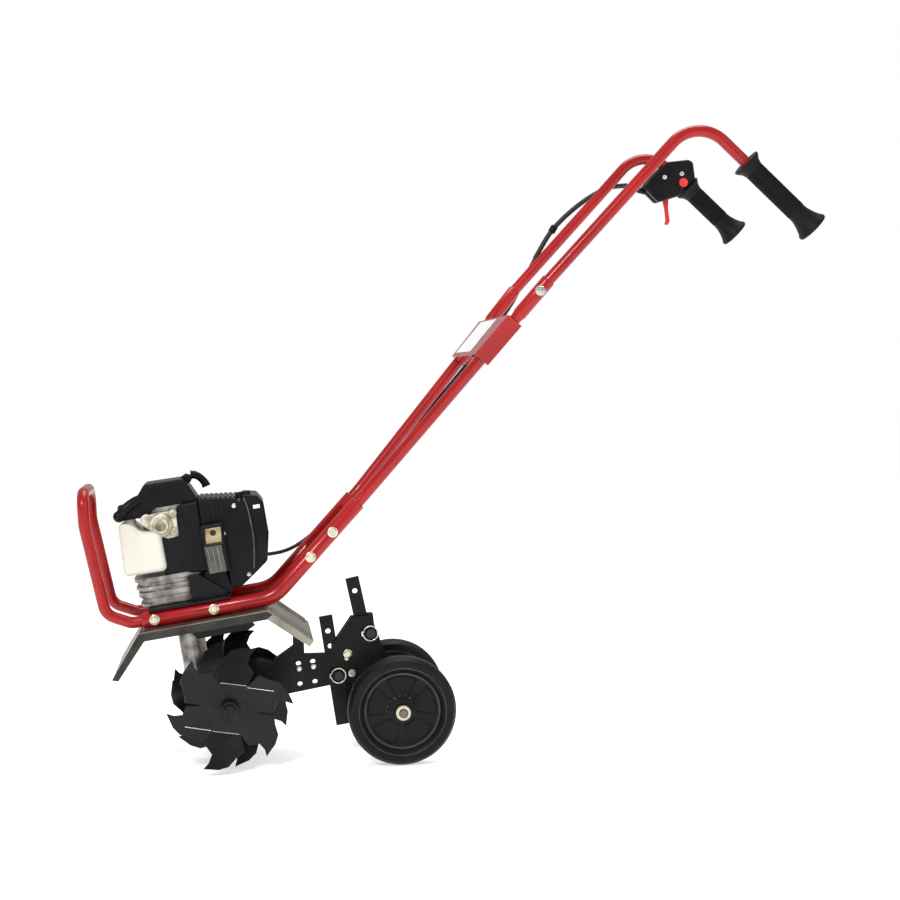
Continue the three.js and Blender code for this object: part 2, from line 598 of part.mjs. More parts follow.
function addFuelTank() {
  const top = [[-88, 75], [-84, 163], [-51, 152], [-51, 137.5]];
  const lobe = side([...top, [-18, 137.5], [-17, 73.5]], -68, -42);
  const main = side([...top, [-29, 137.5], [-29, 73.5]], -43, 50);
  const [u, y] = FILLER_AT;
  const neck = turnedZ(disc(10.5, 140, 178), 12).translate(u, y, 0);
  add(deck, 'fuel_tank', join(lobe, main, neck), WHITE());
  const cap = turnedZ([[0, 179], [11.2, 179], [11.2, 164.5], [16, 164.5], [16, 186], [13, 190], [0, 190]], 16);
  add(deck, 'fuel_cap', cap.translate(u, y, 0), BLACK_PLASTIC());
}

function addStarter() {
  const profile = [[0, 208], [38, 208], [46.5, 196], [46.5, 178], [50, 178], [50, 198], [40, 213], [31, 218],
    [0, 218]];
  add(deck, 'starter_housing', turnedZ(profile, 16), BLACK_PLASTIC());
  const bar = turnedY(disc(6.5, -21, 21), 14).translate(62, 0, 213);
  const stem = new THREE.CylinderGeometry(4, 4, 13, 12).rotateZ(-degrees(50)).translate(57, 0, 209);
  add(deck, 'starter_grip', join(bar, stem), BLACK_PLASTIC());
}

function addCarburettor() {
  add(deck, 'carburettor', box(58, 92, 57, 82, 78, 118), CAST());
  add(deck, 'air_cleaner_cover', box(52, 104, 82.5, 112, 66, 132), BLACK_PLASTIC());
  const lever = join(box(-3, 26, 0, 3, -3, 3), turnedY(disc(6, 0, 3), 14));
  add(deck, 'choke_lever', lever.translate(78, 113, 124), RED());
}

// ---------------------------------------------------------------- grips and throttle

const TRIGGER_PIVOT = [1037, 966];
const BUTTON_AT = [1066, 986];
const HOUSING_HALF = 19;

// A hand grip over the end of a handlebar: a round guard, a waisted body and a flared end with a floor.
function gripBody(length) {
  const profile = [[0, length - 8], [GRIP_BORE_R, length - 8], [GRIP_BORE_R, 0], [24.5, 0], [24.5, 6], [16, 10],
    [15.5, length - 43], [18, length - 21], [27.5, length - 6], [27.5, length], [0, length]];
  return along(turnedZ(profile, 24), at(GRIP_START, HANDLE_TOP_Y), GRIP_AXIS);
}

function addGrips() {
  add(machine, 'grip_left', mirrorY(gripBody(GRIP_LENGTH)), RUBBER());
  const y = HANDLE_TOP_Y;
  const shell = [[1037, 1024], [1077, 1028], [1086, 1024], [1090, 992], [1064, 964], [1020, 951],
    [1000, 971], [993, 978], [1012, 1000]];
  const housing = side(shell, y - HOUSING_HALF, y + HOUSING_HALF);
  const tubeRoom = sweep(upperHandlePath(THROTTLE_GRIP_LENGTH), 10.2, 0, 24);
  const triggerRoom = side([[1022, 940], [1062, 940], [1054, 980], [1022, 980]], y - 4.5, y + 4.5);
  const buttonRoom = turnedY(disc(8.6, y - 25, y - 12.5), 16).translate(BUTTON_AT[0], 0, BUTTON_AT[1]);
  const body = join(housing, gripBody(THROTTLE_GRIP_LENGTH));
  add(machine, 'throttle_grip', cut(body, tubeRoom, triggerRoom, buttonRoom), BLACK_PLASTIC());

  const eye = side(circle(TRIGGER_PIVOT[0], TRIGGER_PIVOT[1], 6.5, 14), y - 3, y + 3);
  const blade = [[1031, 962], [1043, 962], [1042, 940], [1045, 918], [1041, 911], [1036, 912], [1038, 920],
    [1036, 940]];
  const lever = side(blade, y - 3, y + 3);
  add(machine, 'throttle_trigger', join(eye, lever), RED());
  const button = turnedY(disc(8, y - 24, y - 15.5), 16).translate(BUTTON_AT[0], 0, BUTTON_AT[1]);
  add(machine, 'stop_button', button, RED());
}

// The cable leaves the throttle housing's front, is clipped along the right handle and ends at the carburettor.
function addCable() {
  const points = [[990, 179, 974], [968, 184, 984], [930, 192, 979], [880, 196, 950], [830, 190, 905],
    [795, 184, 852], [770, 183, 806], [748, 172, 768], [702, 151, 709], [650, 134, 650], [560, 110, 548],
    [500, 98, 480], [450, 92, 432], [380, 88, 372], [330, 88, 342], [270, 84, 336], [247, 70, 345]];
  const curve = new THREE.CatmullRomCurve3(points.map(([x, y, z]) => new THREE.Vector3(x, y, z)));
  const section = outline(circle(0, 0, 3.2, 8));
  const cable = new THREE.ExtrudeGeometry(section, { steps: 40, extrudePath: curve, bevelEnabled: false });
  add(machine, 'throttle_cable', cable, RUBBER());
}

// ---------------------------------------------------------------- the whole machine

addFrame();
addBraces();
addShield();
addEngineMount();
addGearbox();
addWorm();
addWormWheel();
addTines();
addHitch();
addStakes();
addWheelBracket();
addWheels();
addClutchHousing();
addCrankcase();
addCrankTrain();
addCylinder();
addShroud();
addMuffler();
addFuelTank();
addStarter();
addCarburettor();
addGrips();
addCable();

const model = new THREE.Group();
model.add(machine);
const bounds = new THREE.Box3().setFromObject(machine);
machine.position.set(-(bounds.min.x + bounds.max.x) / 2, -(bounds.min.y + bounds.max.y) / 2, -bounds.min.z);
export default model;
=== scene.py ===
"""Looks of a petrol mini cultivator: painted tube frame, black engine, clawed tines and transport wheels."""

import json
import math

import bmesh
import bpy
from mathutils import Matrix, Vector


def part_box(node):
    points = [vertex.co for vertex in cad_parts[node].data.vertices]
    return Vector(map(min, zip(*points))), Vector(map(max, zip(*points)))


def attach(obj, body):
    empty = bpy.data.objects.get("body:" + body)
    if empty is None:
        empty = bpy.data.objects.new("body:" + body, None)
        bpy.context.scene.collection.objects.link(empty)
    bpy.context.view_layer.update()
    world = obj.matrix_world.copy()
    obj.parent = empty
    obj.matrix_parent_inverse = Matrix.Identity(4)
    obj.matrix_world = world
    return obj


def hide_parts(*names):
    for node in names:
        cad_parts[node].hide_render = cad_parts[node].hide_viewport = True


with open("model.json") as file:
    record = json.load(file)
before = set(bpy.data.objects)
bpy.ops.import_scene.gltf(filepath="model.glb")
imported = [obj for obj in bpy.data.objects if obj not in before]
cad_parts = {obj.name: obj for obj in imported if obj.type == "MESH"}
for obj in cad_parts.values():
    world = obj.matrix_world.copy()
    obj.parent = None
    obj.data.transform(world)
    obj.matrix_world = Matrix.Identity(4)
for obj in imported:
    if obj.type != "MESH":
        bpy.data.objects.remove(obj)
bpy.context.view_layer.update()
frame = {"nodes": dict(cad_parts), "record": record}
NODES = frame["nodes"]

# ---------------------------------------------------------------- places and sizes

MM = 0.001
TUBE_R = 9.5
FRAME_R = 12.7
NOSE_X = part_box("front_carry_handle")[0].x / MM + TUBE_R
DECK_TILT = math.radians(8.3)
DECK_AT = (161.1, 260)
HANDLE_Y = 178
FRAME_Y = 69
TINE_AXIS = (229.7, 106)
WHEEL_AXIS = (512.2, 90)
WHEEL_Y = 88
GRIP_TILT = math.radians(43.3)
GRIP_START = (1078.2, 979.8)
GRIP_LENGTH = {-1: 155, 1: 125}
SURROUND_LIGHT = 0.5
FLOOR_GLOW = 0.52
FLOOR_HALF = 14


def place(x, y, z):
    """A point given in millimetres behind the nose tube, to the right and up, in the row frame."""
    return Vector(((NOSE_X + x) * MM, y * MM, z * MM))


TO_ROW = Matrix.Translation(place(0, 0, 0)) @ Matrix.Scale(MM, 4)
DECK = TO_ROW @ Matrix.Translation((DECK_AT[0], 0, DECK_AT[1])) @ Matrix.Rotation(-DECK_TILT, 4, "Y")

# ---------------------------------------------------------------- camera, light and floor


def make_camera():
    camera = bpy.data.objects.new("camera", bpy.data.cameras.new("camera"))
    camera.data.lens = 65.96
    camera.data.sensor_width = 36
    camera.data.clip_end = 50
    look = Vector((0.12552, 0.99096, -0.04733))
    right = Vector((0.99186, -0.12637, -0.0155))
    up = right.cross(look)
    turn = Matrix((right, up, -look)).transposed().to_4x4()
    camera.matrix_world = Matrix.Translation((-0.3428, -2.787, 0.6483)) @ turn
    bpy.context.scene.collection.objects.link(camera)
    bpy.context.scene.camera = camera


def make_light(name, location, size, power, target=(0, 0, 0.4)):
    light = bpy.data.objects.new(name, bpy.data.lights.new(name, "AREA"))
    light.data.shape = "DISK"
    light.data.size = size
    light.data.energy = power
    light.location = location
    light.rotation_euler = (Vector(target) - Vector(location)).to_track_quat("-Z", "Y").to_euler()
    bpy.context.scene.collection.objects.link(light)


def make_world():
    """A white backdrop that lights the object more softly than it looks."""
    world = bpy.data.worlds.new("studio")
    world.use_nodes = True
    tree = world.node_tree
    surround = tree.nodes["Background"]
    surround.inputs["Color"].default_value = (1, 1, 1, 1)
    surround.inputs["Strength"].default_value = SURROUND_LIGHT
    backdrop = tree.nodes.new("ShaderNodeBackground")
    backdrop.inputs["Color"].default_value = (1, 1, 1, 1)
    choose = tree.nodes.new("ShaderNodeMixShader")
    tree.links.new(tree.nodes.new("ShaderNodeLightPath").outputs["Is Camera Ray"], choose.inputs[0])
    tree.links.new(surround.outputs[0], choose.inputs[1])
    tree.links.new(backdrop.outputs[0], choose.inputs[2])
    tree.links.new(choose.outputs[0], tree.nodes["World Output"].inputs["Surface"])
    bpy.context.scene.world = world


def make_studio():
    make_world()
    bpy.context.scene.view_settings.view_transform = "Standard"
    make_light("key", (-1.6, -2.6, 2.6), 0.8, 62)
    make_light("fill", (2.4, -2.2, 1.6), 2.0, 14)
    make_light("top", (0.3, 0.6, 3.2), 2.0, 48)
    bm = bmesh.new()
    bmesh.ops.create_grid(bm, x_segments=1, y_segments=1, size=FLOOR_HALF)
    floor = bpy.data.objects.new("floor", bpy.data.meshes.new("floor"))
    bm.to_mesh(floor.data)
    bm.free()
    floor.location.z = -0.0005
    bpy.context.scene.collection.objects.link(floor)
    floor.data.materials.append(simple_floor())


def simple_floor():
    material = bpy.data.materials.new("studio_floor")
    material.use_nodes = True
    shader = material.node_tree.nodes["Principled BSDF"]
    shader.inputs["Base Color"].default_value = (0.97, 0.97, 0.97, 1)
    shader.inputs["Roughness"].default_value = 0.9
    shader.inputs["Emission Color"].default_value = (1, 1, 1, 1)
    shader.inputs["Emission Strength"].default_value = FLOOR_GLOW
    return material


# ---------------------------------------------------------------- shader groups

def new_group(name, inputs, outputs):
    tree = bpy.data.node_groups.new(name, "ShaderNodeTree")
    for label, kind, value in inputs:
        socket = tree.interface.new_socket(label, in_out="INPUT", socket_type=kind)
        socket.default_value = value
    for label, kind in outputs:
        tree.interface.new_socket(label, in_out="OUTPUT", socket_type=kind)
    return tree, tree.nodes.new("NodeGroupInput"), tree.nodes.new("NodeGroupOutput")


def math_node(tree, operation, a, b, clamp=False):
    node = tree.nodes.new("ShaderNodeMath")
    node.operation = operation
    node.use_clamp = clamp
    for socket, value in zip(node.inputs, (a, b)):
        if isinstance(value, (int, float)):
            socket.default_value = value
        else:
            tree.links.new(value, socket)
    return node.outputs[0]


def noise_node(tree, vector, scale, detail=3.0):
    node = tree.nodes.new("ShaderNodeTexNoise")
    node.inputs["Detail"].default_value = detail
    tree.links.new(vector, node.inputs["Vector"])
    if isinstance(scale, (int, float)):
        node.inputs["Scale"].default_value = scale
    else:
        tree.links.new(scale, node.inputs["Scale"])
    return node.outputs["Fac"]


def ramp_mask(tree, value, low, high):
    node = tree.nodes.new("ShaderNodeMapRange")
    node.inputs["From Min"].default_value = low
    node.inputs["From Max"].default_value = high
    tree.links.new(value, node.inputs["Value"])
    return node.outputs["Result"]


def mottle_group():
    """Cloudy change of tone over a surface, with a fine grain for the bump."""
    tree, inlet, outlet = new_group("mottle", [("Cloud Scale", "NodeSocketFloat", 14.0),
                                               ("Grain Scale", "NodeSocketFloat", 900.0)],
                                    [("Cloud", "NodeSocketFloat"), ("Grain", "NodeSocketFloat")])
    where = tree.nodes.new("ShaderNodeTexCoord").outputs["Object"]
    cloud = noise_node(tree, where, inlet.outputs["Cloud Scale"], 5)
    grain = noise_node(tree, where, inlet.outputs["Grain Scale"], 2)
    tree.links.new(ramp_mask(tree, cloud, 0.3, 0.7), outlet.inputs["Cloud"])
    tree.links.new(grain, outlet.inputs["Grain"])
    return tree


def dust_group():
    """Dust that settles on faces that look up, in patches."""
    tree, inlet, outlet = new_group("settled_dust", [("Amount", "NodeSocketFloat", 0.3)],
                                    [("Dust", "NodeSocketFloat")])
    where = tree.nodes.new("ShaderNodeTexCoord").outputs["Object"]
    normal = tree.nodes.new("ShaderNodeNewGeometry").outputs["Normal"]
    split = tree.nodes.new("ShaderNodeSeparateXYZ")
    tree.links.new(normal, split.inputs[0])
    upward = ramp_mask(tree, split.outputs["Z"], 0.2, 1.0)
    patches = ramp_mask(tree, noise_node(tree, where, 35.0, 6), 0.42, 0.66)
    dust = math_node(tree, "MULTIPLY", math_node(tree, "MULTIPLY", upward, patches),
                     inlet.outputs["Amount"], True)
    tree.links.new(dust, outlet.inputs["Dust"])
    return tree


def scuff_group():
    """Scratches and rubbed patches where paint has worn to metal."""
    tree, inlet, outlet = new_group("scuffs", [("Scale", "NodeSocketFloat", 30.0),
                                               ("Amount", "NodeSocketFloat", 0.3)],
                                    [("Scuff", "NodeSocketFloat")])
    where = tree.nodes.new("ShaderNodeTexCoord").outputs["Object"]
    stretch = tree.nodes.new("ShaderNodeMapping")
    stretch.inputs["Scale"].default_value = (1, 1, 5)
    tree.links.new(where, stretch.inputs["Vector"])
    broad = ramp_mask(tree, noise_node(tree, where, inlet.outputs["Scale"], 4), 0.55, 0.68)
    fine = ramp_mask(tree, noise_node(tree, stretch.outputs["Vector"], 260.0, 3), 0.52, 0.7)
    scuff = math_node(tree, "MULTIPLY", math_node(tree, "MULTIPLY", broad, fine), inlet.outputs["Amount"],
                      True)
    tree.links.new(scuff, outlet.inputs["Scuff"])
    return tree


GROUPS = {"mottle": mottle_group(), "dust": dust_group(), "scuff": scuff_group()}


def finish_material(name, dark, light, roughness, metallic=0.0, cloud=14.0, grain=900.0, bump=0.05,
                    bump_size=0.0003,
                    dust=0.0, scuff=0.0, scuff_scale=30.0, scuff_color=(0.45, 0.43, 0.4, 1),
                    rough_spread=0.12, coat=0.0,
                    specular=0.5):
    """A painted, moulded or cast finish, with cloudy tone, fine grain, dust and scuffs."""
    material = bpy.data.materials.new(name)
    material.use_nodes = True
    tree = material.node_tree
    shader = tree.nodes["Principled BSDF"]
    shader.inputs["Metallic"].default_value = metallic
    shader.inputs["Coat Weight"].default_value = coat
    shader.inputs["Coat Roughness"].default_value = 0.12
    shader.inputs["Specular IOR Level"].default_value = specular
    mottle = tree.nodes.new("ShaderNodeGroup")
    mottle.node_tree = GROUPS["mottle"]
    mottle.inputs["Cloud Scale"].default_value = cloud
    mottle.inputs["Grain Scale"].default_value = grain
    tone = mix_color(tree, mottle.outputs["Cloud"], dark, light)
    rough = ramp_to(tree, mottle.outputs["Cloud"], roughness - rough_spread / 2, roughness + rough_spread / 2)
    if scuff:
        worn = tree.nodes.new("ShaderNodeGroup")
        worn.node_tree = GROUPS["scuff"]
        worn.inputs["Scale"].default_value = scuff_scale
        worn.inputs["Amount"].default_value = scuff
        tone = mix_color(tree, worn.outputs["Scuff"], tone, scuff_color)
        metal = ramp_to(tree, worn.outputs["Scuff"], metallic, 0.9)
        tree.links.new(metal, shader.inputs["Metallic"])
    if dust:
        settled = tree.nodes.new("ShaderNodeGroup")
        settled.node_tree = GROUPS["dust"]
        settled.inputs["Amount"].default_value = dust
        tone = mix_color(tree, settled.outputs["Dust"], tone, (0.4, 0.36, 0.3, 1))
    tree.links.new(tone, shader.inputs["Base Color"])
    tree.links.new(rough, shader.inputs["Roughness"])
    relief = tree.nodes.new("ShaderNodeBump")
    relief.inputs["Strength"].default_value = bump
    relief.inputs["Distance"].default_value = bump_size
    tree.links.new(mottle.outputs["Grain"], relief.inputs["Height"])
    tree.links.new(relief.outputs["Normal"], shader.inputs["Normal"])
    return material


def mix_color(tree, factor, a, b):
    node = tree.nodes.new("ShaderNodeMix")
    node.data_type = "RGBA"
    tree.links.new(factor, node.inputs["Factor"])
    for index, value in ((6, a), (7, b)):
        if isinstance(value, tuple):
            node.inputs[index].default_value = value
        else:
            tree.links.new(value, node.inputs[index])
    return node.outputs[2]


def ramp_to(tree, value, low, high):
    node = tree.nodes.new("ShaderNodeMapRange")
    node.inputs["To Min"].default_value = max(0.0, low)
    node.inputs["To Max"].default_value = min(1.0, high)
    tree.links.new(value, node.inputs["Value"])
    return node.outputs["Result"]


def make_materials():
    make = finish_material
    return {
        "red_paint": make("red_paint", (0.27, 0.003, 0.004, 1), (0.4, 0.006, 0.007, 1), 0.26, cloud=9,
                          grain=420, bump=0.008,
                          scuff=0.06, scuff_scale=22, rough_spread=0.06, coat=0.2, specular=0.3),
        "black_paint": make("black_paint", (0.003, 0.003, 0.004, 1), (0.009, 0.0095, 0.011, 1), 0.36,
                            grain=700, bump=0.12,
                            dust=0.02, scuff=0.06, specular=0.16),
        "tine_paint": make("tine_paint", (0.003, 0.004, 0.005, 1), (0.01, 0.012, 0.014, 1), 0.32, grain=500,
                           bump=0.15,
                           dust=0.02, scuff=0.08, scuff_scale=18, specular=0.2),
        # Pale bare-metal colour for the lines along the tine folds: painted highlights where the bends catch
        # the light.
        "fold_highlight_paint": make("fold_highlight_paint", (0.35, 0.33, 0.28, 1), (0.62, 0.6, 0.54, 1), 0.38, 0.85, cloud=60,
                          bump=0.2),
        "black_plastic": make("black_plastic", (0.002, 0.002, 0.003, 1), (0.007, 0.007, 0.009, 1), 0.36,
                              grain=1500,
                              bump=0.18, dust=0.02, specular=0.16),
        "grip_rubber": make("grip_rubber", (0.002, 0.002, 0.003, 1), (0.008, 0.008, 0.009, 1), 0.5,
                            grain=1300, bump=0.3,
                            dust=0.02, specular=0.15),
        "wheel_plastic": make("wheel_plastic", (0.003, 0.003, 0.003, 1), (0.009, 0.009, 0.009, 1), 0.44,
                              grain=800, bump=0.2,
                              dust=0.02, specular=0.16),
        # Tan colour for the wheel's rim line and hub nubs. The same colour is used for a ring in the wheel's
        # recess that is a painted warm highlight.
        "rim_tan_and_highlight": make("rim_tan_and_highlight", (0.012, 0.01, 0.008, 1), (0.07, 0.055, 0.04, 1), 0.5, cloud=16,
                         specular=0.3),
        "pin_dark": make("pin_dark", (0.006, 0.006, 0.007, 1), (0.02, 0.02, 0.02, 1), 0.35, specular=0.4),
        "shield_dark": make("shield_dark", (0.012, 0.011, 0.009, 1), (0.05, 0.045, 0.036, 1), 0.4, 0.5,
                            cloud=26,
                            bump=0.2),
        "zinc_sheet": make("zinc_sheet", (0.13, 0.115, 0.09, 1), (0.36, 0.33, 0.27, 1), 0.36, 0.8, cloud=22,
                           grain=300,
                           bump=0.15, dust=0.1, scuff=0.2),
        "bright_zinc": make("bright_zinc", (0.5, 0.49, 0.45, 1), (0.86, 0.85, 0.8, 1), 0.28, 0.9, cloud=80,
                            grain=900,
                            bump=0.1),
        "cream_zinc": make("cream_zinc", (0.5, 0.46, 0.32, 1), (0.85, 0.8, 0.62, 1), 0.3, 0.75, cloud=80,
                           bump=0.1),
        "steel": make("steel", (0.42, 0.41, 0.4, 1), (0.68, 0.67, 0.65, 1), 0.3, 0.95, cloud=40, grain=1200,
                      bump=0.1),
        "cast_aluminium": make("cast_aluminium", (0.07, 0.065, 0.06, 1), (0.46, 0.43, 0.4, 1), 0.36, 0.75,
                               cloud=55, grain=650,
                               bump=0.5, dust=0.15),
        "yellow_casting": make("yellow_casting", (0.2, 0.18, 0.1, 1), (0.8, 0.77, 0.62, 1), 0.4, 0.5,
                               cloud=70,
                               grain=700, bump=0.5),
        "gold_plate": make("gold_plate", (0.22, 0.16, 0.08, 1), (0.55, 0.45, 0.26, 1), 0.34, 0.85, cloud=60,
                           bump=0.2),
        "guard_steel": make("guard_steel", (0.05, 0.06, 0.055, 1), (0.14, 0.15, 0.14, 1), 0.4, 0.6,
                            cloud=50, bump=0.2),
        "bronze": make("bronze", (0.4, 0.26, 0.09, 1), (0.62, 0.44, 0.2, 1), 0.3, 0.95, cloud=30),
        "tank_plastic": make("tank_plastic", (0.6, 0.57, 0.47, 1), (0.74, 0.72, 0.64, 1), 0.38, cloud=7,
                             grain=500, bump=0.08),
        "label_white": make("label_white", (0.82, 0.84, 0.86, 1), (0.92, 0.93, 0.94, 1), 0.35, cloud=20,
                            bump=0.02),
        "red_plastic": make("red_plastic", (0.5, 0.012, 0.012, 1), (0.68, 0.03, 0.025, 1), 0.35, grain=900,
                            bump=0.08),
        "cable_rubber": make("cable_rubber", (0.006, 0.006, 0.007, 1), (0.015, 0.015, 0.016, 1), 0.5,
                             grain=900, bump=0.2),
        "cream_plastic": make("cream_plastic", (0.5, 0.45, 0.3, 1), (0.7, 0.66, 0.52, 1), 0.4, cloud=60,
                              bump=0.1),
    }


SKINS = make_materials()
SLOT_SKIN = {"red_paint": "red_paint", "black_paint": "black_paint", "black_plastic": "black_plastic",
             "red_plastic": "red_plastic", "white_plastic": "cream_plastic", "white_label": "label_white",
             "zinc": "zinc_sheet", "steel": "steel", "cast_aluminium": "cast_aluminium", "bronze": "bronze",
             "rubber": "grip_rubber", "wheel_plastic": "wheel_plastic"}


def paint_cad_nodes():
    for part in frame["record"]["subparts"]:
        node = NODES[part["node"]]
        skin = SLOT_SKIN[part["material_slot"]]
        node.data.materials.clear()
        node.data.materials.append(SKINS[skin])


# ---------------------------------------------------------------- mesh helpers


def finish_piece(name, bm, skin, body="chassis", replaces=(), bevel=0.0, matrix=TO_ROW, smooth=35,
                 segments=2):
    """Turns a bmesh in millimetres into a riding piece in the row frame."""
    bmesh.ops.remove_doubles(bm, verts=bm.verts, dist=0.001)
    bmesh.ops.recalc_face_normals(bm, faces=bm.faces)
    bmesh.ops.transform(bm, matrix=matrix, verts=bm.verts)
    mesh = bpy.data.meshes.new(name)
    bm.to_mesh(mesh)
    bm.free()
    mesh.materials.append(SKINS[skin])
    piece = bpy.data.objects.new(name, mesh)
    bpy.context.scene.collection.objects.link(piece)
    for polygon in mesh.polygons:
        polygon.use_smooth = True
    mesh.set_sharp_from_angle(angle=math.radians(smooth))
    if bevel:
        modifier = piece.modifiers.new("rounding", "BEVEL")
        modifier.width = bevel * MM
        modifier.segments = segments
        modifier.limit_method = "ANGLE"
        modifier.angle_limit = math.radians(30)
        modifier.harden_normals = True
        modifier.use_clamp_overlap = True
    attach(piece, body)
    if replaces:
        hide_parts(*replaces)
    return piece


def add_prism(bm, points, y0, y1):
    """A side-view outline of [x, z] points between two values of y."""
    near = [bm.verts.new((x, y0, z)) for x, z in points]
    far = [bm.verts.new((x, y1, z)) for x, z in points]
    bm.faces.new(near)
    bm.faces.new(far[::-1])
    for i in range(len(points)):
        j = (i + 1) % len(points)
        bm.faces.new((near[i], near[j], far[j], far[i]))


def add_plan(bm, points, z0, z1):
    """A plan outline of [x, y] points between two heights."""
    low = [bm.verts.new((x, y, z0)) for x, y in points]
    high = [bm.verts.new((x, y, z1)) for x, y in points]
    bm.faces.new(low)
    bm.faces.new(high[::-1])
    for i in range(len(points)):
        j = (i + 1) % len(points)
        bm.faces.new((low[i], low[j], high[j], high[i]))


def add_box(bm, x0, x1, y0, y1, z0, z1):
    add_prism(bm, [(x0, z0), (x1, z0), (x1, z1), (x0, z1)], y0, y1)


AXES = {"x": Matrix.Rotation(math.radians(90), 4, "Y"), "y": Matrix.Rotation(math.radians(-90), 4, "X"),
        "z": Matrix.Identity(4)}


def add_turned(bm, profile, axis="z", at=(0, 0, 0), sides=32, closed=False, turn=None):
    """Revolves [radius, height] points about an axis through a point."""
    frame_matrix = Matrix.Translation(at) @ (turn if turn is not None else AXES[axis])
    rings = []
    for radius, height in profile:
        if radius == 0:
            rings.append([bm.verts.new(frame_matrix @ Vector((0, 0, height)))])
            continue
        rings.append([bm.verts.new(frame_matrix @ Vector((radius * math.cos(a), radius * math.sin(a),
                                                          height)))
                      for a in (2 * math.pi * i / sides for i in range(sides))])
    pairs = list(zip(rings, rings[1:]))
    if closed:
        pairs.append((rings[-1], rings[0]))
    for low, high in pairs:
        for i in range(sides):
            j = (i + 1) % sides
            if len(low) == 1 and len(high) == 1:
                break
            if len(low) == 1:
                bm.faces.new((low[0], high[j], high[i]))
            elif len(high) == 1:
                bm.faces.new((low[i], low[j], high[0]))
            else:
                bm.faces.new((low[i], low[j], high[j], high[i]))


def bent_stations(corners, radii, steps=10):
    """Points along straight runs joined by round bends."""
    corners = [Vector(c) for c in corners]
    stations = [corners[0]]
    for corner, before, after, radius in zip(corners[1:-1], corners, corners[2:], radii):
        into = (corner - before).normalized()
        out = (after - corner).normalized()
        angle = into.angle(out)
        normal = (out - into * into.dot(out)).normalized()
        start = corner - into * radius * math.tan(angle / 2)
        count = max(3, math.ceil(steps * angle / (math.pi / 2)))
        for k in range(count + 1):
            turn = angle * k / count
            stations.append(start + into * radius * math.sin(turn) + normal * radius * (1 - math.cos(turn)))
    stations.append(corners[-1])
    return stations


def smooth_stations(points, per_span=6):
    """A smooth curve through points, as a list of stations."""
    points = [Vector(p) for p in points]
    padded = [points[0] * 2 - points[1], *points, points[-1] * 2 - points[-2]]
    stations = []
    for a, b, c, d in zip(padded, padded[1:], padded[2:], padded[3:]):
        for k in range(per_span):
            t = k / per_span
            stations.append(0.5 * (2 * b + (c - a) * t + (2 * a - 5 * b + 4 * c - d) * t * t
                                   + (3 * b - a - 3 * c + d) * t ** 3))
    return [*stations, points[-1]]


def add_sweep(bm, stations, radius, sides=24):
    """A round bar along stations, with capped ends. radius may be one number or one for each station."""
    count = len(stations)
    radii = radius if isinstance(radius, list) else [radius] * count
    tangent = (stations[1] - stations[0]).normalized()
    across = tangent.orthogonal().normalized()
    rings = []
    for i, point in enumerate(stations):
        ahead = (stations[min(i + 1, count - 1)] - stations[max(i - 1, 0)]).normalized()
        across = (across - ahead * across.dot(ahead)).normalized()
        other = ahead.cross(across)
        rings.append([bm.verts.new(point + (across * math.cos(a) + other * math.sin(a)) * radii[i])
                      for a in (2 * math.pi * k / sides for k in range(sides))])
    for low, high in zip(rings, rings[1:]):
        for k in range(sides):
            j = (k + 1) % sides
            bm.faces.new((low[k], low[j], high[j], high[k]))
    bm.faces.new(rings[0][::-1])
    bm.faces.new(rings[-1])


# ---------------------------------------------------------------- repeated hardware by geometry nodes

def hardware_tree(name):
    """Puts one hardware shape on each vertex of a layout, by the vertex's aim and size."""
    tree = bpy.data.node_groups.new(name, "GeometryNodeTree")
    interface = tree.interface
    interface.new_socket("Layout", in_out="INPUT", socket_type="NodeSocketGeometry")
    interface.new_socket("Shape", in_out="INPUT", socket_type="NodeSocketObject")
    interface.new_socket("Skin", in_out="INPUT", socket_type="NodeSocketMaterial")
    interface.new_socket("Size", in_out="INPUT", socket_type="NodeSocketFloat").default_value = 1.0
    interface.new_socket("Hardware", in_out="OUTPUT", socket_type="NodeSocketGeometry")
    nodes, links = tree.nodes, tree.links
    inlet = nodes.new("NodeGroupInput")
    outlet = nodes.new("NodeGroupOutput")
    shape = nodes.new("GeometryNodeObjectInfo")
    links.new(inlet.outputs["Shape"], shape.inputs["Object"])
    aim = nodes.new("GeometryNodeInputNamedAttribute")
    aim.data_type = "FLOAT_VECTOR"
    aim.inputs["Name"].default_value = "aim"
    size = nodes.new("GeometryNodeInputNamedAttribute")
    size.data_type = "FLOAT"
    size.inputs["Name"].default_value = "size"
    align = nodes.new("FunctionNodeAlignRotationToVector")
    align.axis = "Z"
    links.new(aim.outputs["Attribute"], align.inputs["Vector"])
    scale = nodes.new("ShaderNodeMath")
    scale.operation = "MULTIPLY"
    links.new(size.outputs["Attribute"], scale.inputs[0])
    links.new(inlet.outputs["Size"], scale.inputs[1])
    spread = nodes.new("GeometryNodeInstanceOnPoints")
    links.new(inlet.outputs["Layout"], spread.inputs["Points"])
    links.new(shape.outputs["Geometry"], spread.inputs["Instance"])
    links.new(align.outputs["Rotation"], spread.inputs["Rotation"])
    links.new(scale.outputs[0], spread.inputs["Scale"])
    real = nodes.new("GeometryNodeRealizeInstances")
    links.new(spread.outputs["Instances"], real.inputs["Geometry"])
    skin = nodes.new("GeometryNodeSetMaterial")
    links.new(real.outputs["Geometry"], skin.inputs["Geometry"])
    links.new(inlet.outputs["Skin"], skin.inputs["Material"])
    links.new(skin.outputs["Geometry"], outlet.inputs["Hardware"])
    return tree


HARDWARE = hardware_tree("hardware_on_layout")


def socket_id(tree, name):
    """The identifier of a named input, which is how a modifier's values are set."""
    inputs = (item for item in tree.interface.items_tree if item.in_out == "INPUT")
    return next(item.identifier for item in inputs if item.name == name)


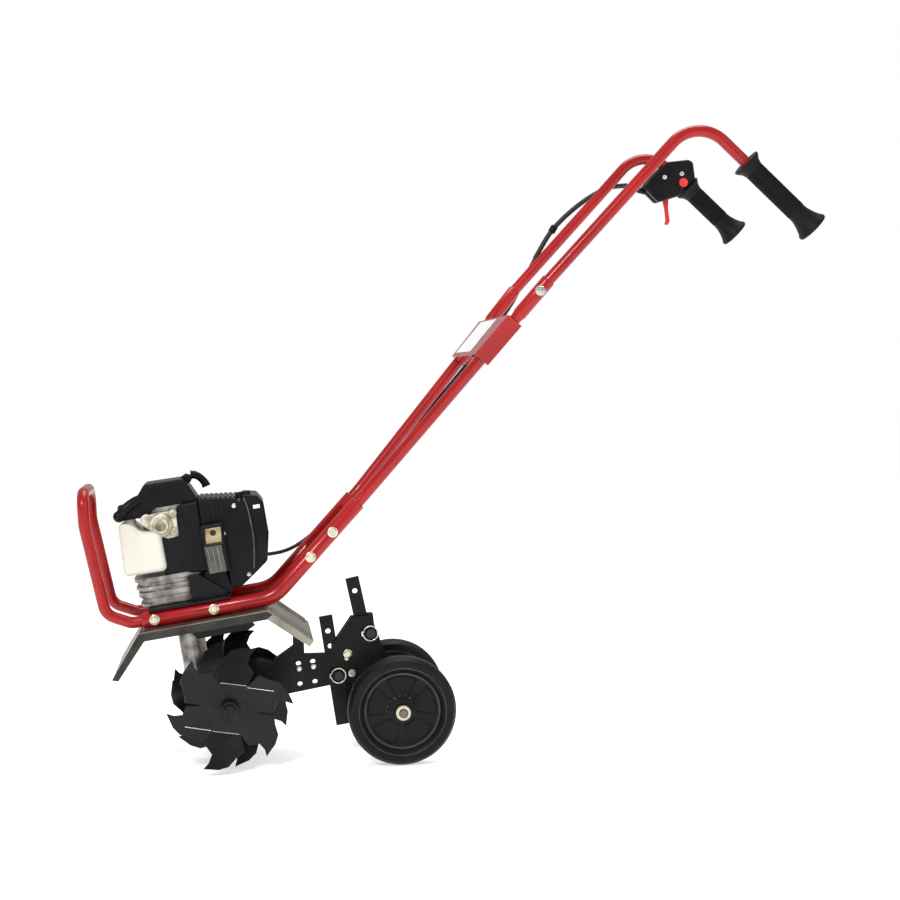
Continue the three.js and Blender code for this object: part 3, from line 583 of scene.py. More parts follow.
def lay_hardware(name, shape, skin, places, body="chassis", size=1.0):
    """places holds (point, aim, size) with the point and aim in the row frame. One plain mesh comes back."""
    layout = bpy.data.meshes.new(name + "_layout")
    layout.from_pydata([p for p, _, _ in places], [], [])
    layout.attributes.new("aim", "FLOAT_VECTOR", "POINT").data.foreach_set("vector",
                                                                           [c for _, a,
                                                                            _ in places for c in a])
    layout.attributes.new("size", "FLOAT", "POINT").data.foreach_set("value", [s for _, _, s in places])
    carrier = bpy.data.objects.new(name + "_carrier", layout)
    bpy.context.scene.collection.objects.link(carrier)
    modifier = carrier.modifiers.new("hardware", "NODES")
    modifier.node_group = HARDWARE
    modifier[socket_id(HARDWARE, "Shape")] = shape
    modifier[socket_id(HARDWARE, "Skin")] = SKINS[skin]
    modifier[socket_id(HARDWARE, "Size")] = size
    depsgraph = bpy.context.evaluated_depsgraph_get()
    mesh = bpy.data.meshes.new_from_object(carrier.evaluated_get(depsgraph))
    mesh.name = name
    bpy.data.objects.remove(carrier)
    piece = bpy.data.objects.new(name, mesh)
    bpy.context.scene.collection.objects.link(piece)
    mesh.set_sharp_from_angle(angle=math.radians(30))
    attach(piece, body)
    return piece


def shape_object(name, build):
    """A hardware shape, one unit being a millimetre before scaling, kept out of the scene."""
    bm = bmesh.new()
    build(bm)
    bmesh.ops.remove_doubles(bm, verts=bm.verts, dist=0.001)
    bmesh.ops.recalc_face_normals(bm, faces=bm.faces)
    bmesh.ops.scale(bm, vec=(MM, MM, MM), verts=bm.verts)
    mesh = bpy.data.meshes.new(name)
    bm.to_mesh(mesh)
    bm.free()
    for polygon in mesh.polygons:
        polygon.use_smooth = True
    return bpy.data.objects.new(name, mesh)


def hex_head(bm):
    """A flanged hexagon head 10 mm across, standing on its washer."""
    add_turned(bm, [(0, 0), (7.4, 0), (7.4, 1.2), (5.9, 1.9), (0, 1.9)], sides=20)
    add_turned(bm, [(0, 1.5), (5.6, 1.5), (5.6, 5), (4.7, 5.7), (0, 5.7)], sides=6)


def pan_head(bm):
    """A round cross-recess screw head 8 mm across."""
    add_turned(bm, [(0, 0), (4, 0), (4, 0.9), (3.2, 2), (1.6, 2.5), (0, 2.5)], sides=18)
    add_box(bm, -2.2, 2.2, -0.4, 0.4, 2.3, 2.7)
    add_box(bm, -0.4, 0.4, -2.2, 2.2, 2.3, 2.7)


def dome_nut(bm):
    """A lock nut 13 mm across with its washer and the screw's end."""
    add_turned(bm, [(0, 0), (9, 0), (9, 1.4), (0, 1.4)], sides=24)
    add_turned(bm, [(0, 1.2), (7.4, 1.2), (7.4, 7), (6.2, 8), (0, 8)], sides=6)
    add_turned(bm, [(0, 7), (3.8, 7), (3.8, 10.5), (3, 11), (0, 11)], sides=14)


def in_row(matrix, point):
    return matrix @ Vector(point)


def aim_in(matrix, direction):
    return (matrix.to_3x3() @ Vector(direction)).normalized()


# ---------------------------------------------------------------- frame and handlebars

HANDLE_FLARE = (458, 69, 447)
SPLICE = (742, 164, 780)
SLEEVE_FROM = 386
SLEEVE_LENGTH = 71
SLEEVE_SKIN = 80
SPLICE_ALONG = 57


def handle_direction():
    return (Vector(SPLICE) - Vector(HANDLE_FLARE)).normalized()


def upper_handle_corners(sign):
    lower = handle_direction()
    flare = Vector(HANDLE_FLARE)
    grip = Vector((math.cos(GRIP_TILT), 0, -math.sin(GRIP_TILT)))
    end = Vector((GRIP_START[0], HANDLE_Y, GRIP_START[1])) + grip * (GRIP_LENGTH[sign] - 12)
    return [flare + lower * (SLEEVE_FROM + 5), flare + lower * (SLEEVE_FROM + SLEEVE_LENGTH + 6),
            Vector((907, 174, 957)),
            Vector((998.4, HANDLE_Y, 1055)), end]


def make_tubes():
    half = [(126, 69, 254.9), (74, 69, 247.2), (33, 69, 262), (2, 69, 408), (0, 69, 460)]
    loop = half + [(x, -y, z) for x, y, z in reversed(half)]
    bm = bmesh.new()
    add_sweep(bm, bent_stations(loop, [30, 26, 60, 28, 28, 60, 26, 30]), TUBE_R)
    finish_piece("carry_handle_tube", bm, "red_paint", replaces=["front_carry_handle"], smooth=40)
    for side, sign in (("left", -1), ("right", 1)):
        flip = TO_ROW @ Matrix.Diagonal((1, sign, 1, 1))
        bm = bmesh.new()
        stations = bent_stations([(92.3, 69, 250), (305, 69, 281), (447, 69, 435)], [62])
        first, last = stations[0], stations[-1]
        inward = (stations[1] - first).normalized()
        outward = (last - stations[-2]).normalized()
        stations = [first, first + inward * 1.2, *stations[1:-1], last - outward * 1.2, last]
        radii = [FRAME_R - 1] + [FRAME_R] * (len(stations) - 2) + [FRAME_R - 1]
        add_sweep(bm, stations, radii)
        finish_piece(f"frame_tube_skin_{side}", bm, "red_paint", replaces=[f"frame_tube_{side}"],
                     matrix=flip, smooth=40)

        bm = bmesh.new()
        lower = handle_direction()
        flare = Vector(HANDLE_FLARE)
        sleeve = flare + lower * SLEEVE_FROM
        stations = bent_stations([(386, 69, 368.9), flare, sleeve], [60])
        radii = [TUBE_R] * len(stations)
        for along, radius in ((3, TUBE_R + 0.4), (9, 11.3), (SLEEVE_SKIN - 1.5, 11.3), (SLEEVE_SKIN, 10.6)):
            stations.append(sleeve + lower * along)
            radii.append(radius)
        add_sweep(bm, stations, radii)
        finish_piece(f"lower_handlebar_{side}", bm, "red_paint", replaces=[f"handle_lower_{side}"],
                     matrix=flip, smooth=40)

        bm = bmesh.new()
        add_sweep(bm, bent_stations(upper_handle_corners(sign), [60, 120, 59], 14), TUBE_R)
        finish_piece(f"upper_handlebar_{side}", bm, "red_paint", replaces=[f"handle_upper_{side}"],
                     matrix=flip, smooth=40)


def make_frame_hardware():
    bolt = shape_object("hex_head_shape", hex_head)
    nut = shape_object("nut_shape", dome_nut)
    places = []
    for x, z in ((111.7, 252.8), (207.6, 267), (366.6, 347.8), (403.6, 387.9)):
        for sign in (-1, 1):
            places.append((place(x, sign * (FRAME_Y + FRAME_R - 0.4), z), Vector((0, sign, 0)), 1.15))
    lay_hardware("frame_bolts", bolt, "cream_zinc", places)
    splice = Vector(HANDLE_FLARE) + handle_direction() * (SLEEVE_FROM + SPLICE_ALONG)
    places = [(place(splice.x, sign * (splice.y + 10.6), splice.z), Vector((0, sign, 0)),
               1.0) for sign in (-1, 1)]
    lay_hardware("splice_nuts", nut, "bright_zinc", places)


# ---------------------------------------------------------------- grips

def grip_profile(length, rings=26):
    """The moulded grip from its funnel guard to its flared end, with fine bands."""
    outer = [(24.5, 0), (24.5, 2.5), (23, 5), (19, 10), (16.5, 18)]
    body_from = 20
    flare_from = length - 43
    step = (flare_from - body_from) / rings
    for i in range(rings):
        start = body_from + i * step
        outer += [(15.2, start), (15.9, start + step * 0.3), (15.9, start + step * 0.7)]
    outer += [(15.4, flare_from), (16.6, length - 30), (19.5, length - 19), (23.5, length - 9),
              (26.6, length - 5)]
    outer += [(27.2, length - 2.5), (26, length), (0, length)]
    return [(0, 0.5)] + outer


def make_grips():
    turn = Matrix.Rotation(math.radians(90) + GRIP_TILT, 4, "Y")
    ridges = 30
    for side, sign in (("left", -1), ("right", 1)):
        length = GRIP_LENGTH[sign]
        start = Vector((GRIP_START[0], sign * HANDLE_Y, GRIP_START[1]))
        bm = bmesh.new()
        add_turned(bm, grip_profile(length), at=start, sides=48, turn=turn)
        replaced = ["grip_left"] if sign < 0 else []
        finish_piece(f"ribbed_grip_{side}", bm, "grip_rubber", replaces=replaced, smooth=30)
        bm = bmesh.new()
        run = turn @ Vector((0, 0, 1))
        for k in range(ridges):
            angle = 2 * math.pi * k / ridges
            ridge = turn @ Vector((math.cos(angle) * 15.7, math.sin(angle) * 15.7, 0))
            add_sweep(bm, [start + ridge + run * 18, start + ridge + run * (length - 40)], 0.7, sides=6)
        finish_piece(f"grip_ridges_{side}", bm, "grip_rubber")


def make_throttle():
    y = HANDLE_Y
    bm = bmesh.new()
    outline = [(1037, 1024), (1077, 1028), (1086, 1024), (1090, 992), (1064, 964), (1020, 951), (1000, 971),
               (993, 978),
               (1012, 1000)]
    add_prism(bm, outline, y - 19, y - 4.6)
    add_prism(bm, outline, y + 4.6, y + 19)
    finish_piece("throttle_housing_shells", bm, "black_plastic", replaces=["throttle_grip"], bevel=4,
                 segments=4)
    bm = bmesh.new()
    inner = [(1037, 1022), (1077, 1026), (1084, 1022), (1088, 993), (1063, 982), (1020, 982), (1000, 974),
             (996, 979),
             (1013, 999)]
    add_prism(bm, inner, y - 4.8, y + 4.8)
    finish_piece("throttle_housing_core", bm, "black_plastic", bevel=1)
    screw = shape_object("pan_screw_shape", pan_head)
    places = [(place(x, y - 19, z), Vector((0, -1, 0)), 1.1) for x, z in ((1064, 1002), (1032, 996))]
    lay_hardware("throttle_screws", screw, "bright_zinc", places)


CABLE_ROUTE = [(990, 179, 974), (968, 184, 984), (930, 192, 979), (880, 196, 950), (830, 190, 905),
               (795, 184, 852),
               (770, 183, 806), (748, 172, 768), (702, 151, 709), (650, 134, 650), (560, 110, 548),
               (500, 98, 480),
               (450, 92, 432), (380, 88, 372), (330, 88, 342), (270, 84, 336), (247, 70, 345)]
CABLE_CLIPS = (2, 4, 11)


def make_cable():
    bm = bmesh.new()
    add_sweep(bm, smooth_stations(CABLE_ROUTE), 3.2, sides=14)
    finish_piece("throttle_cable_sleeve", bm, "cable_rubber", replaces=["throttle_cable"], smooth=60)
    bm = bmesh.new()
    add_sweep(bm, smooth_stations([(1000, 179, 971), (990, 179, 974), (978, 181, 979)]),
              [4.6, 4.7, 4.8, 4.8, 4.9, 5, 5.2,
              5.2, 5, 4.8, 4.4, 3.8, 3.4], sides=14)
    finish_piece("cable_ferrule", bm, "black_plastic", smooth=60)
    bm = bmesh.new()
    add_sweep(bm, smooth_stations(CABLE_ROUTE[1:6]), 4.5, sides=16)
    finish_piece("cable_conduit", bm, "cable_rubber", smooth=60)
    bm = bmesh.new()
    for index in CABLE_CLIPS:
        here, ahead = Vector(CABLE_ROUTE[index]), Vector(CABLE_ROUTE[index + 1])
        along = (ahead - here).normalized()
        add_sweep(bm, [here - along * 7, here - along * 6, here + along * 6, here + along * 7],
                  [5, 6.6, 6.6, 5], sides=16)
    finish_piece("cable_clips", bm, "black_plastic", bevel=0.6, smooth=40)


# ---------------------------------------------------------------- tines

TINE_PLATE = 4
TINE_APOTHEM = 40
TINE_BEND = math.radians(18)
TINE_TIP = (101.6, -29)
CLAW = [(38, 22), (66, 34), (78, 22), (94, 11), (100.5, -4), TINE_TIP, (92, -22), (77, -18.5), (64, -31),
        (38, -23)]
TINES = {"left_outer": (-100, -122, -88, 5), "left_inner": (-52, -80, -33, 34),
         "right_inner": (52, 33, 80, 34),
         "right_outer": (100, 88, 122, 5)}
# Claws whose folds get painted highlight lines, and the radius of those lines in millimetres.
HIGHLIT_CLAWS = (2, 5)
FOLD_HIGHLIGHT_R = 0.8


def add_placed(bm, matrix, build):
    """Adds what build makes, moved by a matrix."""
    before = len(bm.verts)
    build(bm)
    bm.verts.ensure_lookup_table()
    bmesh.ops.transform(bm, matrix=matrix, verts=bm.verts[before:])


def claw_matrix(y, claw, tip_angle):
    """From a flat claw lying along x to its place around the shaft, bent to alternate sides."""
    lag = math.atan2(TINE_TIP[1], TINE_TIP[0])
    around = math.radians(tip_angle) - lag - claw * math.pi / 3
    side = -1 if claw % 2 == 0 else 1
    fold = Matrix.Translation((TINE_APOTHEM, 0, 0))
    bend = fold @ Matrix.Rotation(side * TINE_BEND, 4, "Z") @ fold.inverted()
    return Matrix.Translation((TINE_AXIS[0], y, TINE_AXIS[1])) @ Matrix.Rotation(-around, 4, "Y") @ bend


def make_tines():
    half = TINE_PLATE / 2
    corner = TINE_APOTHEM / math.cos(math.pi / 6)
    for name, (y, hub_low, hub_high, tip_angle) in TINES.items():
        bm = bmesh.new()
        for claw in range(6):
            add_placed(bm, claw_matrix(y, claw, tip_angle), lambda part: add_prism(part, CLAW, -half, half))
        start = math.radians(tip_angle) - math.atan2(TINE_TIP[1], TINE_TIP[0]) + math.pi / 6
        plate = [(TINE_AXIS[0] + corner * math.cos(start + k * math.pi / 3),
                  TINE_AXIS[1] + corner * math.sin(start + k * math.pi / 3)) for k in range(6)]
        add_prism(bm, plate, y - half, y + half)
        finish_piece(f"claw_plate_{name}", bm, "tine_paint", body="tine_rotor", bevel=0.8,
                     replaces=[f"tine_{name}"])
        bm = bmesh.new()
        tube = [(10.2, hub_low), (15, hub_low), (15, hub_high), (10.2, hub_high)]
        add_turned(bm, tube, axis="y", at=(TINE_AXIS[0], 0, TINE_AXIS[1]), closed=True)
        finish_piece(f"tine_hub_{name}", bm, "tine_paint", body="tine_rotor", bevel=0.6)
    # Pale lines along the folds of two claws on each outer tine: painted highlights where the bends catch the
    # light.
    bm = bmesh.new()
    for y, tip_angle in ((-100, 5), (100, 5)):
        face = math.copysign(half, y)
        start = Vector((TINE_APOTHEM, face, 21))
        for claw in HIGHLIT_CLAWS:
            ends = {claw: Vector((TINE_APOTHEM, face, -22)), (claw + 1) % 6: Vector((80, face, 1))}
            for bent, end in ends.items():
                matrix = claw_matrix(y, bent, tip_angle)
                add_placed(bm, matrix, lambda part: add_sweep(part, [start, end], FOLD_HIGHLIGHT_R, sides=8))
    finish_piece("worn_fold_lines", bm, "fold_highlight_paint", body="tine_rotor", smooth=60)


def make_shaft_ends():
    """Dark caps with a sunk bore over both ends of the tine shaft."""
    bm = bmesh.new()
    for sign in (-1, 1):
        cap = [(0, 127.4), (4.5, 127.4), (5, 129), (9, 129), (10.5, 127.5), (10.5, 122.4), (9.8, 122.4),
               (9.8, 127.2),
               (0, 127.2)]
        add_turned(bm, [(r, sign * y) for r, y in cap], axis="y", at=(TINE_AXIS[0], 0, TINE_AXIS[1]),
                   sides=32)
    finish_piece("tine_shaft_caps", bm, "tine_paint", body="tine_rotor", smooth=30)


# ---------------------------------------------------------------- shield and hitch

SHIELD_HALF = 110
SHIELD_TOP = -13.2
LIP_FOOT = (-126, -78)
LIP_SLOPE = (0.62, 0.76)
TOOTH_STEPS = (14, 32)
TOOTH_DEPTH = 5


def make_shield_trims():
    """Dark skirts over the shield's rolled edge, a toothed front lip and ribs down the rear slope."""
    skirt = [(-131, -80.4), (-77, SHIELD_TOP - 1.6), (132, SHIELD_TOP - 1.6), (139, SHIELD_TOP - 8),
             (128, SHIELD_TOP - 14.5), (-70, SHIELD_TOP - 14.5), (-121, -84)]
    bm = bmesh.new()
    for sign in (-1, 1):
        y0, y1 = sorted((sign * (SHIELD_HALF + 0.2), sign * (SHIELD_HALF + 1.6)))
        add_prism(bm, skirt, y0, y1)
    finish_piece("shield_skirts", bm, "shield_dark", bevel=0.5, matrix=DECK)
    bm = bmesh.new()
    for step in TOOTH_STEPS:
        u = LIP_FOOT[0] + step * LIP_SLOPE[0]
        w = LIP_FOOT[1] + step * LIP_SLOPE[1]
        tooth = [(u, w), (u + 8, w + 9.8), (u + 9, w + 2), (u + 5, w - TOOTH_DEPTH)]
        for sign in (-1, 1):
            add_prism(bm, tooth, *sorted((sign * (SHIELD_HALF + 0.2), sign * (SHIELD_HALF - 6))))
    finish_piece("front_lip_teeth", bm, "shield_dark", bevel=0.5, matrix=DECK)
    bm = bmesh.new()
    for y in (-104, -86, -68, 68, 86, 104):
        add_sweep(bm, [Vector((137, y, SHIELD_TOP - 3.4)), Vector((192, y, -70))], 1.9, sides=10)
    finish_piece("rear_slope_ribs", bm, "zinc_sheet", smooth=60, matrix=DECK)
    channel = [(4, SHIELD_TOP - 3), (108, SHIELD_TOP - 3), (114, -30), (104, -37), (108, -44), (96, -50),
               (10, -50),
               (4, -40)]
    bm = bmesh.new()
    for sign in (-1, 1):
        add_prism(bm, channel, *sorted((sign * 34, sign * 37)))
    finish_piece("under_shield_channels", bm, "tine_paint", bevel=0.8, matrix=DECK)


HITCH_PLATE_FACE = 6.4
BRACKET_FACE = 9.9
HITCH_PINS = {"upper": (467.7, 208), "lower": (412.3, 138.2)}
PIN_BODY = {"upper": "upper_pin", "lower": "lower_pin"}
BRACKET_BOLTS = ((428.8, 173.8, 1.0), (427.3, 165.5, 0.5), (435.5, 140.2, 0.85))
HITCH_BOLTS = ((346.6, 150.6, 0.6), (370.8, 153.4, 0.6))


def make_hitch_hardware():
    bolt = shape_object("hitch_bolt_shape", hex_head)
    places = [(place(x, sign * BRACKET_FACE, z), Vector((0, sign, 0)), size)
              for x, z, size in BRACKET_BOLTS for sign in (-1, 1)]
    lay_hardware("bracket_bolts", bolt, "cream_zinc", places)
    places = [(place(x, sign * HITCH_PLATE_FACE, z), Vector((0, sign, 0)), size)
              for x, z, size in HITCH_BOLTS for sign in (-1, 1)]
    lay_hardware("hitch_plate_bolts", bolt, "bright_zinc", places)
    for name, (x, z) in HITCH_PINS.items():
        bm = bmesh.new()
        add_turned(bm, [(0, -16.3), (8, -16.3), (8, -22), (6.8, -23), (0, -23)], axis="y", at=(x, 0, z),
                   sides=32)
        add_turned(bm, [(0, 15), (3.9, 15), (3.9, -17), (0, -17)], axis="y", at=(x, 0, z), sides=20)
        finish_piece(f"hitch_pin_body_{name}", bm, "pin_dark", body=PIN_BODY[name],
                     replaces=[f"hitch_pin_{name}"],
                     smooth=30)
        bm = bmesh.new()
        ring = [Vector((x + 12.2 * math.cos(a), -18, z + 12.2 * math.sin(a)))
                for a in (math.radians(190 + 340 * k / 30) for k in range(31))]
        add_sweep(bm, ring, 1.35, sides=10)
        add_sweep(bm, [Vector((x - 13.8, -18, z - 4)), Vector((x - 13.8, -18, z + 4))], 2, sides=10)
        finish_piece(f"hitch_pin_ring_{name}", bm, "bright_zinc", body=PIN_BODY[name], smooth=60)


# ---------------------------------------------------------------- wheels

def wheel_profile():
    """Half of the wheel's section, from the hub out to the tread and back on the other side."""
    return [(12.2, -24), (13, -12), (24, -9), (30, -8), (58, -7), (64, -9), (69, -16), (72, -18),
            (80, -18.6), (84, -18),
            (88.6, -13), (89.9, -8), (90, 0), (89.9, 8), (88.6, 13), (84, 18), (80, 18.6), (72, 18),
            (69, 16), (64, 9),
            (58, 7), (30, 8), (24, 9), (13, 12), (12.2, 22)]


HUB_NUBS = 7
NUB_CIRCLE = 25


def make_wheels():
    x, z = WHEEL_AXIS
    for side, sign in (("left", -1), ("right", 1)):
        body = f"{side}_wheel"
        centre = (x, sign * WHEEL_Y, z)
        bm = bmesh.new()
        profile = [(r, -sign * h) for r, h in wheel_profile()]
        add_turned(bm, profile, axis="y", at=centre, sides=72, closed=True)
        finish_piece(f"wheel_disc_{side}", bm, "wheel_plastic", body=body, replaces=[f"wheel_{side}"],
                     smooth=32)
        bm = bmesh.new()
        for face in (-1, 1):
            line = [(71.4, face * 17.4), (73.2, face * 17.4), (73.2, face * 18.9), (71.4, face * 18.9)]
            add_turned(bm, line, axis="y", at=centre, sides=72, closed=True)
            # A tan ring round the edge of the wheel's recess: a painted warm highlight, drawn all the way
            # round.
            highlight_ring = [(60, face * 7), (63.4, face * 7), (63.4, face * 9.6), (60, face * 8.8)]
            add_turned(bm, highlight_ring, axis="y", at=centre, sides=72, closed=True)
        finish_piece(f"wheel_rim_lines_{side}", bm, "rim_tan_and_highlight", body=body, bevel=0.3)
        bm = bmesh.new()
        for k in range(5):
            angle = 2 * math.pi * (k + 0.25) / 5
            arc = [angle + math.radians(a) for a in range(-25, 26, 5)]
            for face in (-1, 1):
                ring = [(x + 56 * math.cos(a), centre[1] + face * 8.2, z + 56 * math.sin(a)) for a in arc]
                ring += [(x + 24 * math.cos(a), centre[1] + face * 9.8,
                          z + 24 * math.sin(a)) for a in reversed(arc)]
                loop = [Vector(p) for p in [*ring, ring[0]]]
                add_sweep(bm, loop, 0.8, sides=8)
        finish_piece(f"wheel_ribs_{side}", bm, "wheel_plastic", body=body)
        bm = bmesh.new()
        collar = [(7.6, 23.5), (12.2, 23.5), (12.2, 28), (10.5, 30), (7.6, 30)]
        add_turned(bm, [(r, sign * h) for r, h in collar], axis="y", at=centre, closed=True)
        finish_piece(f"wheel_hub_ring_{side}", bm, "cream_plastic", body=body)
        bm = bmesh.new()
        for k in range(HUB_NUBS):
            angle = math.radians(60 + 20 * k)
            nub = (x + NUB_CIRCLE * math.cos(angle), centre[1] + sign * 9, z + NUB_CIRCLE * math.sin(angle))
            add_turned(bm, [(0, sign * -1.5), (1.9, sign * -1.5), (1.9, sign * 0.6), (0, sign * 0.9)],
                       axis="y", at=nub, sides=10)
        finish_piece(f"wheel_hub_nubs_{side}", bm, "rim_tan_and_highlight", body=body)


# ---------------------------------------------------------------- engine

ARM_R = 8.5


def make_starter():
    bm = bmesh.new()
    cover = [(-33, 218), (29, 217), (37, 207), (50, 180), (50, 176.5), (22, 176.5), (-8, 171), (-34, 176),
             (-49, 185), (-51, 196)]
    add_prism(bm, cover, -43, 43)
    finish_piece("starter_cover", bm, "black_plastic", replaces=["starter_housing"], bevel=7, segments=4,
                 matrix=DECK)
    bm = bmesh.new()
    for i in range(7):
        u = -24 + i * 8
        add_box(bm, u, u + 3, -44, -42.4, 184, 211)
        add_box(bm, u, u + 3, 42.4, 44, 184, 211)
    finish_piece("starter_cover_ribs", bm, "black_plastic", bevel=0.6, matrix=DECK)
    bm = bmesh.new()
    add_sweep(bm, smooth_stations([(-36, -34, 196), (-52, -40, 192), (-68, -44, 184), (-80, -44, 174)]),
              ARM_R, sides=20)
    add_turned(bm, [(0, -10), (6, -8), (9.5, -3), (9.5, 3), (6, 8), (0, 10)], at=(-81, -44, 173), axis="y",
               sides=24)
    finish_piece("starter_cover_arm", bm, "black_plastic", matrix=DECK, smooth=60)
    bm = bmesh.new()
    add_prism(bm, [(-30, 200), (-54, 191), (-78, 176), (-76, 166), (-44, 164), (-30, 168)], -42, -37)
    finish_piece("starter_cover_web", bm, "black_plastic", bevel=1.5, matrix=DECK)
    bm = bmesh.new()
    add_sweep(bm, smooth_stations([(22, 0, 207), (32, 0, 214), (39, 0, 217.5)]), 6.4, sides=18)
    add_turned(bm, [(0, -8), (6, -8), (7.5, -5), (7.5, 5), (6, 8), (0, 8)], axis="y", at=(37, 0, 214),
               sides=20)
    finish_piece("starter_rope_guide", bm, "black_plastic", matrix=DECK, smooth=50)


def make_tank():
    bm = bmesh.new()
    add_prism(bm, [(-88, 75), (-84, 163), (-60, 158), (-50, 143), (-18, 141), (-17, 74)], -68, -42)
    finish_piece("fuel_tank_lobe", bm, "tank_plastic", replaces=["fuel_tank"], bevel=9, segments=5,
                 matrix=DECK)
    bm = bmesh.new()
    add_prism(bm, [(-87, 76), (-83, 162), (-60, 157), (-51, 142), (-30, 140), (-30, 75)], -60, 50)
    add_turned(bm, [(0, 140), (10.5, 140), (10.5, 178), (0, 178)], at=(-67, -25, 0), sides=28)
    finish_piece("fuel_tank_body", bm, "tank_plastic", bevel=7, segments=5, matrix=DECK)


def make_clutch_housing():
    near = [(-76, -18), (-70, -40), (-52, -55), (10, -56), (30, -50), (48, -36), (50, 0)]
    outline = near + [(u, -y) for u, y in reversed(near[:-1])]
    bm = bmesh.new()
    add_plan(bm, [(u * 0.9, y * 0.9) for u, y in outline], 18, 66)
    for low, high, scale in ((58, 66, 1), (45, 51, 0.99), (32, 42, 0.96), (18, 24, 0.95)):
        add_plan(bm, [(u * scale, y * scale) for u, y in outline], low, high)
    finish_piece("finned_clutch_housing", bm, "cast_aluminium", replaces=["clutch_housing"], bevel=1.2,
                 matrix=DECK)


def make_shroud():
    outer = [(49.5, 181), (112, 172.5), (113, 166), (119, 166), (122, 176), (146, 171), (155, 157),
             (155.5, 107), (146, 61),
             (126, 46), (97, 26), (78, 26), (72, 56), (49.5, 60)]
    bm = bmesh.new()
    add_prism(bm, outer, -56, 56)
    finish_piece("cylinder_shroud", bm, "black_plastic", replaces=["engine_shroud"], bevel=6, segments=4,
                 matrix=DECK)
    bm = bmesh.new()
    add_prism(bm, [(-24, 67), (49, 60), (49, 178), (14, 176), (10, 140), (-24, 137)], -55, 50)
    finish_piece("crankcase_cover", bm, "black_plastic", bevel=4, segments=3, matrix=DECK)
    bm = bmesh.new()
    add_prism(bm, [(40, 18), (78, 18), (84, 30), (84, 60), (40, 60)], -56, 56)
    finish_piece("lower_shroud_panel", bm, "black_plastic", bevel=3, segments=3, matrix=DECK)
    bm = bmesh.new()
    head = [(128, 168), (145, 166), (152, 154), (153, 108), (145, 66), (128, 50), (134, 100), (133, 150)]
    add_prism(bm, head, -59, -55.5)
    add_prism(bm, head, 55.5, 59)
    finish_piece("head_cover_cheeks", bm, "black_plastic", bevel=1.6, segments=3, matrix=DECK)
    bm = bmesh.new()
    for u in (118, 130):
        add_turned(bm, [(0, 170), (6.5, 170), (7, 176), (5, 180), (0, 180.5)], at=(u, -40, 0), sides=20)
    finish_piece("head_cover_knobs", bm, "black_plastic", smooth=40, matrix=DECK)
    bm = bmesh.new()
    add_box(bm, 137, 148, -60.2, -59, 150, 156)
    finish_piece("head_cover_plate", bm, "label_white", bevel=0.4, matrix=DECK)
    bm = bmesh.new()
    for i in range(8):
        u = 52 + i * 8
        add_box(bm, u, u + 5, -57.4, -55.6, 140 if i < 6 else 150, 170 - i * 0.9)
        add_box(bm, u, u + 5, 55.6, 57.4, 140, 170 - i * 0.9)
        add_box(bm, u, u + 5, -50, 50, 177.5 - i, 182 - i)
    finish_piece("shroud_fins", bm, "black_plastic", bevel=0.8, matrix=DECK)
    bm = bmesh.new()
    seam = [(124, 171), (128, 150), (129, 100), (122, 52)]
    add_sweep(bm, smooth_stations([(u, -56.2, w) for u, w in seam]), 1.1, sides=8)
    add_sweep(bm, smooth_stations([(u, 56.2, w) for u, w in seam]), 1.1, sides=8)
    finish_piece("head_cover_seam", bm, "guard_steel", matrix=DECK)
    screw = shape_object("cover_screw_shape", pan_head)
    spots = [(106, 160), (148, 148), (147, 132), (147, 112), (140, 78), (82, 118), (112, 44), (60, 66)]
    places = [(in_row(DECK, (u, sign * 56, w)), aim_in(DECK, (0, sign, 0)), 1.0) for u,
              w in spots for sign in (-1, 1)]
    lay_hardware("cover_screws", screw, "bright_zinc", places)


def make_casting():
    """The rough cast intake elbow and bosses below the starter cover."""
    bm = bmesh.new()
    add_turned(bm, [(0, -18), (17, -18), (20, -15), (20, 8), (0, 8)], axis="y", at=(-16, -44, 148), sides=28)
    add_turned(bm, [(8, -8), (13, -8), (13, 0), (8, 0)], axis="y", at=(-16, -61, 148), sides=24, closed=True)
    add_turned(bm, [(0, -14), (9, -14), (10, -12), (10, 8), (0, 8)], axis="y", at=(-38, -44, 160), sides=20)
    add_turned(bm, [(0, -16), (6, -16), (7, -14), (7, 8), (0, 8)], axis="y", at=(4, -44, 134), sides=18)
    add_turned(bm, [(0, -16), (6, -16), (7, -14), (7, 8), (0, 8)], axis="y", at=(6, -44, 164), sides=18)
    add_prism(bm, [(-44, 168), (-46, 154), (-30, 136), (-8, 124), (10, 126), (12, 170)], -56, -38)
    finish_piece("intake_casting", bm, "yellow_casting", bevel=2.5, segments=3, matrix=DECK)


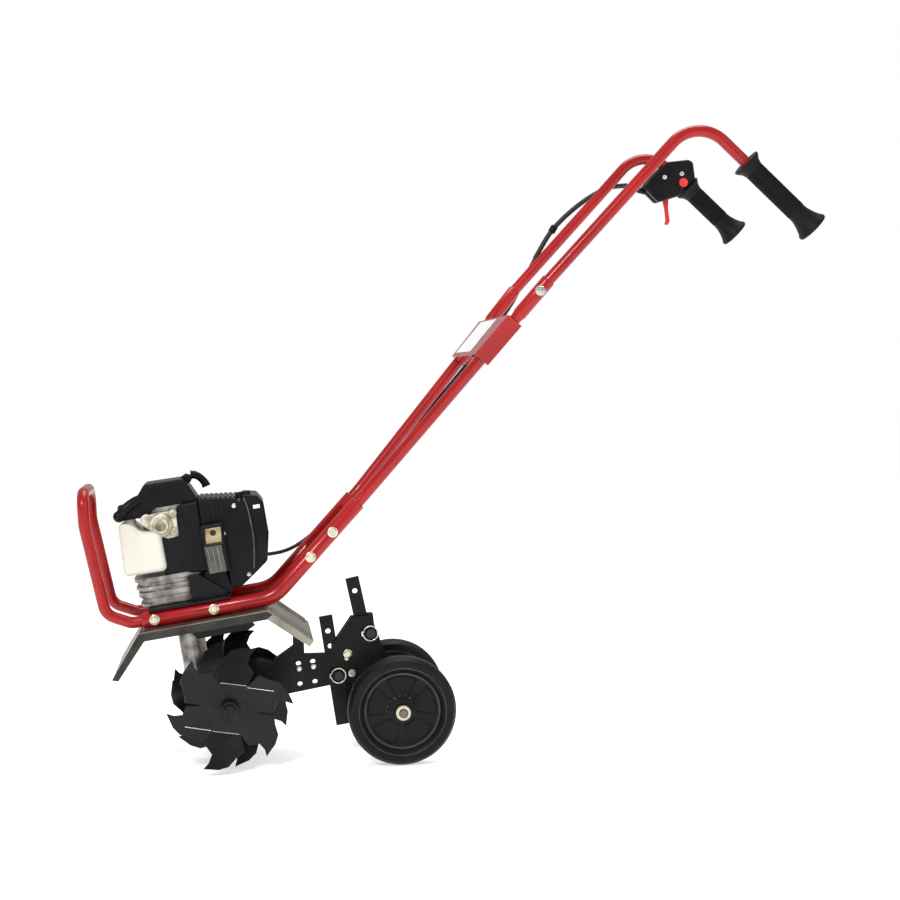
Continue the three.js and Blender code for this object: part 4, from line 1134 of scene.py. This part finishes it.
def make_muffler():
    bm = bmesh.new()
    add_prism(bm, [(46, 56), (84, 56), (84, 138), (46, 138)], -78, -56)
    finish_piece("muffler_box", bm, "black_paint", replaces=["muffler", "muffler_guard"], bevel=5,
                 segments=3, matrix=DECK)
    bm = bmesh.new()
    add_prism(bm, [(52, 107), (78, 107), (80, 132), (54, 132)], -80.6, -78)
    finish_piece("exhaust_deflector", bm, "gold_plate", bevel=1, matrix=DECK)
    bm = bmesh.new()
    add_turned(bm, [(0, -80.4), (5, -80.4), (5, -81.6), (0, -81.6)], axis="y", at=(66, 0, 124), sides=20)
    add_prism(bm, [(50, 104), (80, 104), (80, 107), (50, 107)], -81.8, -78)
    finish_piece("deflector_port", bm, "pin_dark", bevel=0.3, matrix=DECK)
    bm = bmesh.new()
    add_prism(bm, [(50, 58), (78, 58), (76, 103), (48, 103)], -79.4, -77.6)
    finish_piece("muffler_grille_panel", bm, "guard_steel", bevel=0.6, matrix=DECK)
    bm = bmesh.new()
    for i in range(3):
        u = 54 + i * 8
        add_prism(bm, [(u, 61), (u + 1.6, 61), (u - 0.4, 100), (u - 2, 100)], -81.4, -79)
    finish_piece("muffler_grille_bars", bm, "zinc_sheet", bevel=0.5, matrix=DECK)


def make_starter_grip():
    bm = bmesh.new()
    stations = smooth_stations([(43, 0, 219), (50, 0, 218), (58, 0, 212), (64, 0, 203), (66, 0, 196)])
    count = len(stations)
    radii = [6.2 + 1.3 * abs(2 * i / (count - 1) - 1) ** 2 for i in range(count)]
    add_sweep(bm, stations, radii, sides=18)
    finish_piece("starter_pull", bm, "black_plastic", body="starter_handle", replaces=["starter_grip"],
                 matrix=DECK, smooth=60)


# ---------------------------------------------------------------- the scene

make_camera()
make_studio()
paint_cad_nodes()
make_tubes()
make_frame_hardware()
make_grips()
make_throttle()
make_cable()
make_tines()
make_shaft_ends()
make_shield_trims()
make_hitch_hardware()
make_wheels()
make_starter()
make_tank()
make_clutch_housing()
make_shroud()
make_casting()
make_muffler()
make_starter_grip()
